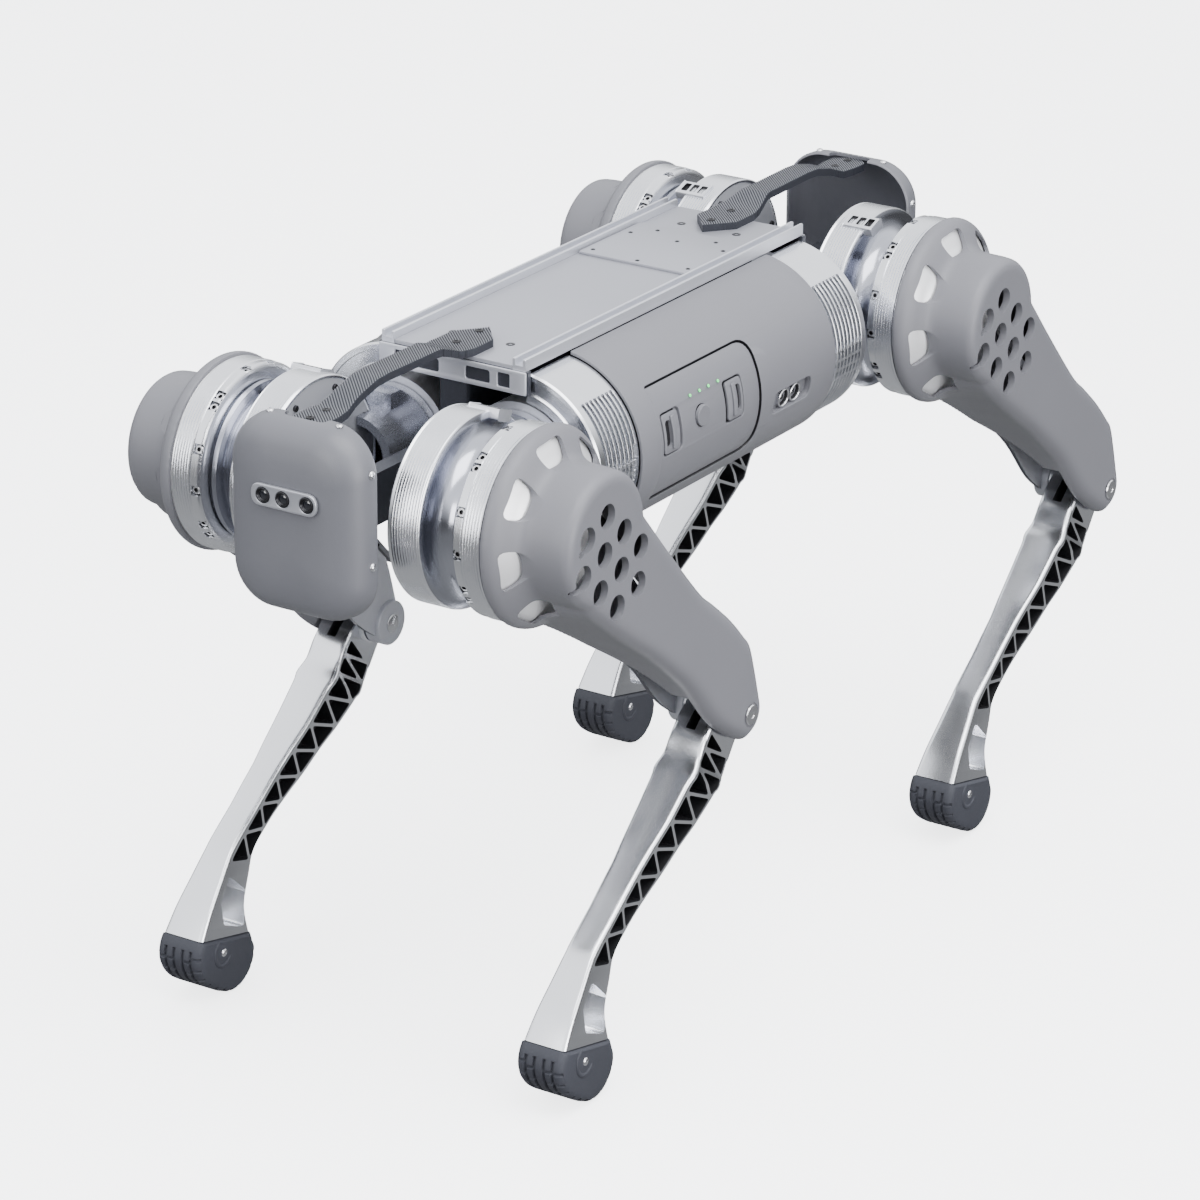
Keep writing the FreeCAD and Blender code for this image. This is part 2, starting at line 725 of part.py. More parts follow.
def prism_across(name, points, start, end):
    """A wedge drawn as (along the leg, out from the robot) and carried from one X to another."""
    sketch = doc.addObject("Sketcher::SketchObject", f"{name}_sketch")
    corners = [Vector(out, -along, 0) for along, out in points]
    for number, corner in enumerate(corners):
        following = corners[(number + 1) % len(corners)]
        sketch.addGeometry(Part.LineSegment(corner, following), False)
    sketch.Placement = Placement(Vector(), Rotation(Vector(1, 1, 1), 120))
    bind_place(sketch, start, 0, 0)
    solid = doc.addObject("Part::Extrusion", name)
    solid.Base = sketch
    solid.DirMode = "Custom"
    solid.Dir = Vector(1, 0, 0)
    solid.Solid = True
    bind(solid, "LengthFwd", f"({end}) - ({start})")
    return solid


def thigh_frame():
    """Inner plate of the thigh, with the knee boss and the shaft that the crank turns on."""
    start, end = "knee_motor_end", "knee_motor_end + thigh_plate"
    plate = prism("frame_plate", thigh_outline(PLATE_INSET, WIDE_RIM), start, end)
    disc = cylinder("frame_disc", "y", "cover_disc - thigh_wall - 0.3", start, end)
    boss = cylinder("frame_boss", "y", "knee_boss_radius", "knee_boss_inner", "knee_boss_outer",
                    0, "-thigh_length")
    shaft = cylinder("frame_shaft", "y", "shaft_radius", end, "crank_inner + 6")
    bore = cylinder("frame_pin_bore", "y", "pin_radius", 150, 180, 0, "-thigh_length")
    window = prism("frame_window", ((118, 28), (150, 24), (150, -26), (118, -26)), 150, 180)
    return cut("frame_body", fuse("frame_solid", plate, disc, boss, shaft), bore, window)


def knee_pin():
    """Headed pin through both cheeks and the shin."""
    shank = cylinder("pin_shank", "y", "pin_radius", "knee_boss_inner", "cover_face")
    inner = cylinder("pin_inner_head", "y", "pin_head_radius", "knee_boss_inner - pin_head",
                     "knee_boss_inner")
    outer = cylinder("pin_outer_head", "y", "pin_head_radius", "cover_face",
                     "cover_face + pin_head")
    return fuse("pin_body", shank, inner, outer)


def crank():
    """Short lever on the knee motor's shaft, drawn pointing down."""
    hub = cylinder("crank_hub", "y", "crank_hub_radius", "knee_motor_end + thigh_plate + 0.4",
                   "rod_inner - 0.5")
    arm = box("crank_arm", ("-7", "7"), ("crank_inner", "rod_inner - 0.5"), ("-lever_arm", "0"))
    eye = cylinder("crank_eye", "y", "eye_radius", "crank_inner", "rod_inner - 0.5",
                   0, "-lever_arm")
    pin = cylinder("crank_pin", "y", "link_pin_radius", "rod_inner - 0.5", "rod_outer + 1",
                   0, "-lever_arm")
    bore = cylinder("crank_bore", "y", "shaft_radius + running_gap", 160, "crank_inner + 6.5")
    return cut("crank_body", fuse("crank_solid", hub, arm, eye, pin), bore)


def push_rod():
    """Rod from the crank to the shin's lever, drawn hanging from the crank pin."""
    width = ("rod_inner", "rod_outer")
    upper = cylinder("rod_upper_eye", "y", "eye_radius", *width)
    lower = cylinder("rod_lower_eye", "y", "eye_radius", *width, 0, "-thigh_length")
    bar = box("rod_bar", ("-4.5", "4.5"), width, ("-thigh_length", "0"))
    upper_bore = cylinder("rod_upper_bore", "y", "link_pin_radius + running_gap", 150, 250)
    lower_bore = cylinder("rod_lower_bore", "y", "link_pin_radius + open_pivot_gap", 150, 250,
                          0, "-thigh_length")
    return cut("rod_body", fuse("rod_solid", upper, lower, bar), upper_bore, lower_bore)


FRONT_EDGE = [(24, 27), (62, 25), (78, 29), (125, 35), (175, 45), (222, 54), (266, 62),
              (300, 63), (328, 62.5), (355, 60)]
LEG_MID = DIMENSIONS["leg_mid"]
BACK_EDGE = [(318, -8), (300, 14), (283, 22), (262, 26), (241, 26), (212, 20), (161, 1),
             (109, -14), (82, -22), (56, -27), (30, -22)]


def shin():
    """Bowed lower leg with pocketed sides, fork and lever at the knee and a core in the foot."""
    middle = "leg_mid"
    blade = prism("shin_blade", FRONT_EDGE + BACK_EDGE, f"{middle} - shin_half",
                  f"{middle} + shin_half")
    shoulder = prism("shin_shoulder", [(4, 22), (24, 27), (62, 25), (80, 29), (88, 31),
                                       (84, -20), (56, -26), (24, -23), (4, -22)],
                     f"{middle} - ear_half", f"{middle} + ear_half")
    lobe = cylinder("shin_lobe", "y", "knee_lobe_radius", f"{middle} - ear_half",
                    f"{middle} + ear_half")
    ankle = prism("shin_ankle", [(312, 62.5), (355, 60), (318, -8), (304, 12)],
                  f"{middle} - foot_half + 2", f"{middle} + foot_half - 2")
    lever = lever_plates()
    core = foot_core("shin")
    solid = fuse("shin_solid", blade, shoulder, lobe, ankle, lever, core)
    bore = cylinder("shin_bore", "y", "pin_radius + running_gap", 150, 250)
    slot = prism("rod_slot", [(-60, -40), (-60, 60), (-2, 60), (-2, -40)], "rod_inner - 0.8",
                 "rod_outer + 0.8")
    ring = cylinder("slot_keep", "y", 18.5, "rod_inner - 0.8", "rod_outer + 0.8")
    room = cut("slot_room", slot, ring)
    slotted = cut("shin_slotted", solid, bore, room, *shin_pockets())
    return fuse("shin_body", slotted, link_pin())


def lever_place(name):
    """Turn that carries a piece drawn on the shin's lever to its true angle."""
    piece = doc.getObject(name)
    piece.Placement = Placement(Vector(), Rotation(Vector(0, 1, 0), 1))
    bind(piece, "Placement.Rotation.Angle", "thigh_tilt + shin_tilt - lever_angle")
    return piece


def lever_plates():
    """Two plates that carry the push rod's pin above the knee."""
    plates = []
    for name, start, end in (("in", "crank_inner", "rod_inner - 0.8"),
                             ("out", "rod_outer + 0.8", "rod_outer + 8")):
        arm = box(f"lever_{name}_arm", ("-8", "8"), (start, end), ("-lever_arm", "0"))
        eye = cylinder(f"lever_{name}_eye", "y", "eye_radius", start, end, 0, "-lever_arm")
        plates += [arm, eye]
    fuse("lever_pair", *plates)
    return lever_place("lever_pair")


def link_pin():
    cylinder("lever_pin", "y", "link_pin_radius", "rod_inner - 2", "rod_outer + 2",
             0, "-lever_arm")
    group("lever_pin_turned", doc.getObject("lever_pin"))
    return lever_place("lever_pin_turned")


def foot_core(name):
    """Metal core that the rubber foot is pressed over."""
    middle = "leg_mid"
    ball = cylinder(f"{name}_core_ball", "y", "foot_core_radius", f"{middle} - 14",
                    f"{middle} + 14", 0, "-shin_length")
    neck = prism(f"{name}_core_neck", [(320, -4), (348, 44), (362, 8), (348, -14)],
                 f"{middle} - 14", f"{middle} + 14")
    return fuse(f"{name}_core", ball, neck)


def edge_at(edge, along):
    """How far forward an edge stands at one place along the shin."""
    ordered = sorted(edge)
    for (low, first), (high, second) in zip(ordered, ordered[1:]):
        if low <= along <= high:
            return first + (second - first) * (along - low) / (high - low)
    return ordered[-1][1]


def shin_pockets():
    """Triangular pockets in both sides of the shin, with a web left down the middle."""
    places = [96, 122, 148, 174, 200, 226, 252, 278]
    wall, rib, half_web = 5, 3, 2
    tools = []
    for number, (start, end) in enumerate(zip(places, places[1:])):
        ends = (start + rib, end - rib)
        front = [(a, edge_at(FRONT_EDGE, a) - wall) for a in ends]
        back = [(a, edge_at(BACK_EDGE, a) + wall) for a in ends]
        triangle = [front[0], front[1], back[1]] if number % 2 else [back[0], front[1], back[1]]
        for side, sign in (("inner", -1), ("outer", 1)):
            low, high = sorted((LEG_MID + sign * half_web, LEG_MID + sign * 30))
            tools.append(prism(f"pocket_{number}_{side}", triangle, low, high))
    return tools


def foot():
    """Rubber boot, round underneath, over the shin's core."""
    sole = arc((348, 0), DIMENSIONS["foot_radius"], -133, -14, 8)
    profile = [(318, -8)] + sole + [(384, 14), (385, 28), (382, 42), (374, 54), (364, 59), (355, 60)]
    boot = prism("boot", profile, "leg_mid - foot_half", "leg_mid + foot_half")
    return cut("boot_body", boot, foot_core("foot"))


# ---------------------------------------------------------------- assembly
trunk_piece("chassis_frame", chassis_frame())
trunk_piece("top_plate", top_plate())
trunk_piece("rear_deck_panel", rear_deck_panel())
trunk_piece("hip_motors", hip_motors())
trunk_piece("hip_motor_housings",
            group("housing_set", *[hip_motor_housing(e, s) for e in ENDS for s in SIDES]))
trunk_piece("accessory_rails", group("rail_set", *[rail(s) for s in SIDES]))
for end_name in ENDS:
    trunk_piece(f"head_shell_{end_name}", head_shell(end_name))
    trunk_piece(f"handle_{end_name}", handle(end_name))
for side_name in SIDES:
    trunk_piece(f"side_cover_{side_name}", side_cover(side_name))
trunk_piece("battery_pack", battery_pack())
trunk_piece("battery_latch_front", battery_latch("front"))
trunk_piece("battery_latch_rear", battery_latch("rear"))
trunk_piece("power_button", cylinder("button_cap", "y", "button_radius", "well_floor + 2.5",
                                     "button_face", "button_x", "latch_z"))
trunk_piece("main_computer", main_computer())
trunk_piece("port_connectors", port_connectors())
trunk_piece("camera_bar", camera_bar())
trunk_piece("camera_lenses", camera_lenses())

KNEE = ("thigh_length * sin(thigh_tilt * 1deg)", "thigh_length * cos(thigh_tilt * 1deg)")
LEVER = "(thigh_tilt - lever_angle) * 1deg"
CRANK_PIN = (f"lever_arm * sin({LEVER})", f"lever_arm * cos({LEVER})")
masters = {
    "hip_link": (hip_link(), dict(turn_x=True)),
    "thigh_motor": (hip_drum(), dict()),
    "knee_motor": (knee_motor(), dict(tilt="thigh_tilt")),
    "thigh_cover": (thigh_cover(), dict(tilt="thigh_tilt")),
    "thigh_frame": (thigh_frame(), dict(tilt="thigh_tilt")),
    "knee_pin": (knee_pin(), dict(at=KNEE)),
    "crank": (crank(), dict(tilt="thigh_tilt - lever_angle")),
    "push_rod": (push_rod(), dict(at=CRANK_PIN, tilt="thigh_tilt")),
    "shin": (shin(), dict(at=KNEE, tilt="-shin_tilt")),
    "foot": (foot(), dict(at=KNEE, tilt="-shin_tilt")),
}
for end_name in ENDS:
    for side_name in SIDES:
        for part_name, (master, options) in masters.items():
            leg_piece(f"{part_name}_{end_name}_{side_name}", master, end_name, side_name, **options)

doc.recompute()

# ---------------------------------------------------------------- checks and export
for item in doc.Objects:
    if "Invalid" in item.State or "Error" in item.State:
        raise RuntimeError(f"{item.Name} failed: {item.State}")
for node in NODES:
    if node.Shape.isNull() or not node.Shape.isValid():
        raise RuntimeError(f"{node.Label} has no sound shape")

os.makedirs("parts", exist_ok=True)
whole = FreeCAD.BoundBox()
for node in NODES:
    node.Shape.exportStep(os.path.join("parts", f"{node.Label}.step"))
    whole.add(node.Shape.BoundBox)
    print(f"{node.Label}: {len(node.Shape.Solids)} solids, {node.Shape.Volume / 1000:.1f} cm3")
print(f"{len(NODES)} nodes, box {whole}")
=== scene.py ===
import json
import math

import bmesh
import bpy
from mathutils import Matrix, Vector
from mathutils.bvhtree import BVHTree


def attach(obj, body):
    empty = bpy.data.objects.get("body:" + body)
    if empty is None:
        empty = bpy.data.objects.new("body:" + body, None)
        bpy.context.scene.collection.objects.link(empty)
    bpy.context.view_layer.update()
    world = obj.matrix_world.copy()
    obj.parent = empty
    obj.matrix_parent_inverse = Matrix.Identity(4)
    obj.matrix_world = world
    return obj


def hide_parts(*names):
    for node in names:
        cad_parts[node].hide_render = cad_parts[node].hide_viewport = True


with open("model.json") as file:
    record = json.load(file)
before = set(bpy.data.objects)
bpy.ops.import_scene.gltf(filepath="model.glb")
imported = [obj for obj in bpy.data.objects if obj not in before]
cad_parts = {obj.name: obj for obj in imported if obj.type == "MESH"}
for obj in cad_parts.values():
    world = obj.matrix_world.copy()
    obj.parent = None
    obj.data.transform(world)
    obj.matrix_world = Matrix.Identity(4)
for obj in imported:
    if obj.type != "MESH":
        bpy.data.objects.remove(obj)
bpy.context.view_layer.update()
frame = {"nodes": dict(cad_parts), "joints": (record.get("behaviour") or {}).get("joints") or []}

# Quadruped robot. +X is forward, +Y is the robot's left. Pieces are drawn in millimetres, trunk
# pieces about the middle of the four hips and leg pieces about their own joint with the leg
# hanging straight down, and are then carried to where the frame's joints are.

JOINTS = {j["name"]: Vector(j["pos_m"]) for j in frame["joints"] if "pos_m" in j}
ENDS = {"front": 1, "rear": -1}
SIDES = {"left": 1, "right": -1}
HIP_FRONT = JOINTS["thigh_swing_front_left"]
HIP_REAR = JOINTS["thigh_swing_rear_left"]
TO_KNEE = JOINTS["knee_front_left"] - HIP_FRONT
TRUNK = Vector(((HIP_FRONT.x + HIP_REAR.x) / 2, 0, HIP_FRONT.z))
THIGH = math.hypot(TO_KNEE.x, TO_KNEE.z) * 1000
THIGH_TILT = math.atan2(-TO_KNEE.x, -TO_KNEE.z)
SHIN_TILT = math.radians(-41.86)
BARREL_Y = 66
BARREL_RADIUS = 89
LEG_MID = 198
FOOT = Vector((24, -350))
FOOT_HALF = 25.0
MM = Matrix.Scale(0.001, 4)
TO_X = Matrix.Rotation(math.radians(-90), 4, "Z")
TO_Z = Matrix.Rotation(math.radians(90), 4, "X")
Y_TO_X = Matrix(((0, 1, 0, 0), (1, 0, 0, 0), (0, 0, 1, 0), (0, 0, 0, 1)))
FACING_X = Matrix(((0, 0, 1, 0), (1, 0, 0, 0), (0, 1, 0, 0), (0, 0, 0, 1)))
OVER = Matrix.Rotation(math.pi, 4, "X")
HALF_TURN = Matrix.Rotation(math.pi, 4, "Z")

# --- mesh helpers


def cleaned(mesh, merge=None):
    """A mesh with its faces turned outwards, after points closer than merge are made one."""
    shell = bmesh.new()
    shell.from_mesh(mesh)
    if merge:
        bmesh.ops.remove_doubles(shell, verts=shell.verts, dist=merge)
    bmesh.ops.recalc_face_normals(shell, faces=shell.faces)
    shell.to_mesh(mesh)
    shell.free()
    return mesh


def holder(shape):
    """A scratch object for a mesh or a curve."""
    thing = bpy.data.objects.new(shape.name, shape)
    bpy.context.scene.collection.objects.link(thing)
    return thing


def applied(thing):
    """The mesh of a scratch object with its modifiers, and the object is removed."""
    seen = bpy.context.evaluated_depsgraph_get()
    mesh = bpy.data.meshes.new_from_object(thing.evaluated_get(seen))
    bpy.data.objects.remove(thing)
    return mesh


def joined(*meshes):
    """Several meshes as one."""
    whole = bmesh.new()
    for mesh in meshes:
        whole.from_mesh(mesh)
    mesh = bpy.data.meshes.new("joined")
    whole.to_mesh(mesh)
    whole.free()
    return mesh


def painted(mesh):
    """A mesh whose faces all take its second material."""
    mesh.polygons.foreach_set("material_index", [1] * len(mesh.polygons))
    return mesh


def moved(mesh, x=0, y=0, z=0, turn=None):
    """A copy of a mesh, turned and then moved."""
    copy = mesh.copy()
    if turn is not None:
        copy.transform(turn)
        if turn.determinant() < 0:
            copy.flip_normals()
    copy.transform(Matrix.Translation((x, y, z)))
    return copy


def mirrored(mesh, x, y):
    """A copy of a mesh, mirrored where a sign is negative."""
    return moved(mesh, turn=Matrix.Diagonal((x, y, 1, 1)))


def combine(base, tool, operation="DIFFERENCE"):
    """base with tool cut off, added or kept in common."""
    first, second = holder(base), holder(tool)
    change = first.modifiers.new("change", "BOOLEAN")
    change.object = second
    change.operation = operation
    change.solver = "MANIFOLD"
    mesh = applied(first)
    bpy.data.objects.remove(second)
    if not mesh.polygons:
        raise RuntimeError(f"a {operation} on {base.name} left nothing")
    return mesh


def sweep(rings, closed_path=False):
    """A skin over rings of points that all have the same count."""
    count = len(rings[0])
    faces = []
    for i in range(len(rings) if closed_path else len(rings) - 1):
        j = (i + 1) % len(rings)
        for k in range(count):
            m = (k + 1) % count
            faces.append((i * count + k, i * count + m, j * count + m, j * count + k))
    if not closed_path:
        faces.append(tuple(range(count)))
        faces.append(tuple((len(rings) - 1) * count + k for k in range(count)))
    mesh = bpy.data.meshes.new("sweep")
    mesh.from_pydata([tuple(p) for ring in rings for p in ring], [], faces)
    return cleaned(mesh, 0.001)


def hoop(radius, level):
    """A ring of 24 points about Y."""
    turns = [math.radians(15 * k) for k in range(24)]
    return [(radius * math.cos(t), level, radius * math.sin(t)) for t in turns]


def lathe(profile, steps=96):
    """A profile of (radius, height) turned about Y."""
    rings = []
    for i in range(steps):
        a = math.radians(360 * i / steps)
        rings.append([(r * math.cos(a), h, r * math.sin(a)) for r, h in profile])
    return sweep(rings, closed_path=True)


def arc(cx, cy, radius, start, end, steps):
    """Points of an arc, with its angles in degrees."""
    angles = [math.radians(start + (end - start) * i / steps) for i in range(steps + 1)]
    return [(cx + radius * math.cos(a), cy + radius * math.sin(a)) for a in angles]


def circle(cx, cy, radius, steps):
    return arc(cx, cy, radius, 0, 360 - 360 / steps, steps - 1)


def rounded(points, radius, steps=4):
    """A polygon with each corner rounded."""
    result = []
    count = len(points)
    for i, point in enumerate(points):
        here = Vector(point)
        before = Vector(points[i - 1]) - here
        after = Vector(points[(i + 1) % count]) - here
        half = before.angle(after) / 2
        reach = min(radius / math.tan(half), before.length * 0.48, after.length * 0.48)
        first = here + before.normalized() * reach
        last = here + after.normalized() * reach
        result += bend(first, here, last, steps)
    return result


def bend(first, corner, last, steps):
    """Points of a curve from first to last that leans toward a corner."""
    return [tuple(first * (1 - t) ** 2 + corner * 2 * t * (1 - t) + last * t * t)
            for t in [k / steps for k in range(steps + 1)]]


def two_radii(points, radii):
    """A polygon whose corners are rounded by radii of their own."""
    result = []
    for n, radius in enumerate(radii):
        before, here, after = (Vector(points[k % len(points)]) for k in (n - 1, n, n + 1))
        first = here + (before - here).normalized() * radius
        last = here + (after - here).normalized() * radius
        result += bend(first, here, last, 6)
    return result


def rectangle(x0, x1, y0, y1, radius=0.0):
    corners = [(x0, y0), (x1, y0), (x1, y1), (x0, y1)]
    return rounded(corners, radius) if radius else corners


def inset(points, distance):
    """A convex polygon moved inwards by a distance."""
    centre = sum((Vector(p) for p in points), Vector((0, 0))) / len(points)
    lines = []
    for i, point in enumerate(points):
        here, following = Vector(point), Vector(points[(i + 1) % len(points)])
        along = (following - here).normalized()
        normal = Vector((-along.y, along.x))
        if normal.dot(centre - here) < 0:
            normal = -normal
        lines.append((here + normal * distance, along))
    result = []
    for i, (start, along) in enumerate(lines):
        other, direction = lines[i - 1]
        cross = direction.x * along.y - direction.y * along.x
        gap = start - other
        share = (gap.x * along.y - gap.y * along.x) / cross
        result.append(tuple(other + direction * share))
    return result


def shrunk(outline, distance):
    """An outline moved to its own right, by one distance or by one for each point."""
    count = len(outline)
    distances = distance if isinstance(distance, list) else [distance] * count
    result = []
    for i in range(count):
        step = Vector(outline[(i + 1) % count]) - Vector(outline[i - 1])
        normal = Vector((step.y, -step.x)).normalized()
        result.append(tuple(Vector(outline[i]) + normal * distances[i]))
    return result


def smooth_line(points, per_span, closed=False):
    """A Catmull-Rom line through points."""
    count = len(points)
    result = []
    for i in range(count if closed else count - 1):
        near = [points[(i + k) % count] if closed else points[min(max(i + k, 0), count - 1)]
                for k in (-1, 0, 1, 2)]
        p0, p1, p2, p3 = (Vector(p) for p in near)
        for k in range(per_span):
            t = k / per_span
            curve = p1 * 2 + (p2 - p0) * t + (p0 * 2 - p1 * 5 + p2 * 4 - p3) * t * t
            curve += (p1 * 3 - p0 - p2 * 3 + p3) * t ** 3
            result.append(tuple(curve / 2))
    if not closed:
        result.append(tuple(points[-1]))
    return result


def surface_of(mesh):
    """A search tree for the nearest place on a mesh."""
    return BVHTree.FromPolygons([v.co for v in mesh.vertices],
                                [list(f.vertices) for f in mesh.polygons])


def value_at(table, place):
    """A value between the entries of a table of (place, value)."""
    if place <= table[0][0]:
        return table[0][1]
    for (low, first), (high, second) in zip(table, table[1:]):
        if place <= high:
            return first + (second - first) * (place - low) / (high - low)
    return table[-1][1]


def plate(outlines, thickness, bevel):
    """A flat plate in XY from Z 0 up. The first outline is its edge, the others are holes."""
    curve = bpy.data.curves.new("plate", "CURVE")
    curve.dimensions = "2D"
    curve.fill_mode = "BOTH"
    curve.extrude = thickness / 2 - bevel
    curve.bevel_depth = bevel
    curve.bevel_resolution = 2
    curve.offset = -bevel
    for number, outline in enumerate(outlines):
        turn = sum(a[0] * b[1] - b[0] * a[1] for a, b in zip(outline, outline[1:] + outline[:1]))
        if (turn < 0) == (number == 0):
            outline = outline[::-1]
        spline = curve.splines.new("POLY")
        spline.points.add(len(outline) - 1)
        for point, (x, y) in zip(spline.points, outline):
            point.co = (x, y, 0, 1)
        spline.use_cyclic_u = True
    return moved(cleaned(applied(holder(curve)), 0.01), 0, 0, thickness / 2)


def prism(outline, start, end):
    """An outline of (x, z) carried along Y."""
    return sweep([[(x, y, z) for x, z in outline] for y in (start, end)])


def prism_up(outline, low, high):
    """An outline of (x, y) carried up Z."""
    return sweep([[(x, y, z) for x, y in outline] for z in (low, high)])


def crowned(outline, levels):
    """An outline of (x, z) carried along Y, moved to its right at each (height, distance)."""
    return sweep([[(x, level, z) for x, z in shrunk(outline, distance)]
                  for level, distance in levels])


def wrapped(mesh, lift=0.0):
    """A plate of (x, height round the barrel, outwards), lifted and bent onto the barrel."""
    shell = bmesh.new()
    shell.from_mesh(moved(mesh, 0, 0, lift))
    place = math.radians(-140) * BARREL_RADIUS
    while place < math.radians(90) * BARREL_RADIUS:
        geometry = shell.verts[:] + shell.edges[:] + shell.faces[:]
        bmesh.ops.bisect_plane(shell, geom=geometry, dist=1e-4, plane_co=(0, place, 0),
                               plane_no=(0, 1, 0))
        place += 4.0
    bent = bpy.data.meshes.new("bent")
    shell.to_mesh(bent)
    shell.free()
    for vertex in bent.vertices:
        angle = vertex.co.y / BARREL_RADIUS
        reach = BARREL_RADIUS + vertex.co.z
        y = BARREL_Y + reach * math.cos(angle)
        vertex.co = (vertex.co.x, y, reach * math.sin(angle))
    return cleaned(bent)


# --- materials
MATERIALS = {}


def add_node(tree, kind, **inputs):
    """A shader node with some inputs set. A _ stands for the space in an input's name."""
    node = tree.nodes.new("ShaderNode" + kind)
    for key, value in inputs.items():
        node.inputs[key.replace("_", " ")].default_value = value
    return node


def material(name, colour, roughness, metallic=0.0, *, grain, bump, vary=0.04,
             stretch=(1, 1, 1), coat=0.0, edge_highlight=0.0, emission=None):
    """Shader with fine grain in its bump, and slow changes of colour and roughness."""
    def tone(share, more=0.0):
        return [min(c * share + more, 1) for c in colour] + [1]

    made = bpy.data.materials.new(name)
    made.use_nodes = True
    tree = made.node_tree
    link = tree.links.new
    shader = tree.nodes["Principled BSDF"]
    shader.inputs["Metallic"].default_value = metallic
    shader.inputs["Coat Weight"].default_value = coat
    place = add_node(tree, "TexCoord")
    scaled = add_node(tree, "Mapping", Scale=stretch)
    fine = add_node(tree, "TexNoise", Scale=grain, Detail=3)
    slow = add_node(tree, "TexNoise", Scale=14, Detail=4)
    link(place.outputs["Object"], scaled.inputs["Vector"])
    link(scaled.outputs["Vector"], fine.inputs["Vector"])
    link(place.outputs["Object"], slow.inputs["Vector"])
    tint = add_node(tree, "ValToRGB")
    for stop, position, share in zip(tint.color_ramp.elements, (0.3, 0.7), (1 - vary, 1 + vary)):
        stop.position, stop.color = position, tone(share)
    mixed = add_node(tree, "Mix")
    mixed.inputs[0].default_value = 0.35
    link(slow.outputs["Fac"], mixed.inputs[2])
    link(fine.outputs["Fac"], mixed.inputs[3])
    link(mixed.outputs[0], tint.inputs["Fac"])
    link(tint.outputs["Color"], shader.inputs["Base Color"])
    # Convex edges, found by pointiness, are painted lighter: a painted highlight along the edges.
    if edge_highlight:
        edge = add_node(tree, "NewGeometry")
        lift = add_node(tree, "MapRange", From_Min=0.53, From_Max=0.62, To_Max=edge_highlight)
        bright = add_node(tree, "Mix")
        bright.data_type = "RGBA"
        bright.inputs[7].default_value = tone(1.5, 0.05)
        link(edge.outputs["Pointiness"], lift.inputs["Value"])
        link(lift.outputs["Result"], bright.inputs[0])
        link(tint.outputs["Color"], bright.inputs[6])
        link(bright.outputs[2], shader.inputs["Base Color"])
    rough = add_node(tree, "MapRange", To_Min=max(roughness - 0.07, 0.02),
                     To_Max=min(roughness + 0.07, 1))
    link(mixed.outputs[0], rough.inputs["Value"])
    link(rough.outputs["Result"], shader.inputs["Roughness"])
    relief = add_node(tree, "Bump", Strength=bump, Distance=0.001)
    link(fine.outputs["Fac"], relief.inputs["Height"])
    link(relief.outputs["Normal"], shader.inputs["Normal"])
    if emission:
        shader.inputs["Emission Color"].default_value = [*emission, 1]
        shader.inputs["Emission Strength"].default_value = 1.0
    MATERIALS[name] = made
    return made


# Cover and head: their convex edges are painted lighter, a painted highlight.
material("cover", (0.148, 0.149, 0.166), 0.5, grain=1600, bump=0.10, vary=0.025, edge_highlight=0.12)
material("head", (0.118, 0.12, 0.136), 0.45, grain=1600, bump=0.10, vary=0.03, edge_highlight=0.18)
# Darker copy of the head colour for the inside of the shell: painted shade.
material("head_inside_shaded", (0.08, 0.082, 0.098), 0.6, grain=1200, bump=0.2, vary=0.08)
material("deck", (0.33, 0.335, 0.37), 0.42, 0.45, grain=2200, bump=0.06, vary=0.02)
material("rail", (0.62, 0.63, 0.68), 0.34, 0.7, grain=700, bump=0.05, stretch=(0.03, 1, 1))
material("turned", (0.80, 0.81, 0.84), 0.25, 1.0, grain=900, bump=0.02, vary=0.03,
         stretch=(0.03, 1, 0.03))
material("barrel_metal", (0.78, 0.79, 0.82), 0.24, 1.0, grain=800, bump=0.02,
         stretch=(1, 0.03, 0.03))
material("cast", (0.70, 0.71, 0.75), 0.36, 0.9, grain=1100, bump=0.10, vary=0.05)
material("face_metal", (0.86, 0.86, 0.88), 0.40, 0.55, grain=600, bump=0.05, vary=0.02)
material("shin_metal", (0.82, 0.83, 0.86), 0.24, 1.0, grain=420, bump=0.02, vary=0.03,
         stretch=(1, 1, 0.06))
material("dark_metal", (0.05, 0.053, 0.065), 0.38, 0.6, grain=700, bump=0.08, vary=0.15)
material("hub_metal", (0.36, 0.37, 0.42), 0.28, 0.9, grain=900, bump=0.06, vary=0.04)
# Darker copy of the turned metal for the dished neck: a painted dark reflection.
material("dish_metal_dark_reflection", (0.42, 0.43, 0.48), 0.2, 1.0, grain=900, bump=0.03, vary=0.04,
         stretch=(0.03, 1, 0.03))
material("plate_metal", (0.42, 0.43, 0.47), 0.42, 0.45, grain=900, bump=0.08, vary=0.04)
material("slate", (0.035, 0.037, 0.048), 0.5, grain=900, bump=0.15, vary=0.1)
material("black", (0.006, 0.006, 0.008), 0.55, grain=800, bump=0.10, vary=0.2)
material("handle_low", (0.022, 0.024, 0.032), 0.5, 0.3, grain=900, bump=0.08, vary=0.1)
# Lighter copy of the handle colour for the tops of its ribs: painted highlight.
material("handle_rib_highlight", (0.15, 0.155, 0.175), 0.38, 0.55, grain=900, bump=0.06, vary=0.05)
material("rubber", (0.028, 0.03, 0.04), 0.68, grain=1500, bump=0.30, vary=0.12)
material("steel", (0.72, 0.72, 0.74), 0.22, 1.0, grain=500, bump=0.04, vary=0.06)
material("black_steel", (0.03, 0.03, 0.034), 0.32, 0.7, grain=500, bump=0.05, vary=0.1)
material("glass", (0.008, 0.009, 0.014), 0.06, coat=1.0, grain=200, bump=0.0, vary=0.3)
material("silver_plastic", (0.42, 0.43, 0.47), 0.3, 0.6, grain=1500, bump=0.04, vary=0.02)
material("green_light", (0.1, 0.75, 0.2), 0.4, grain=500, bump=0.01, emission=(0.10, 0.85, 0.22))

# --- placing pieces


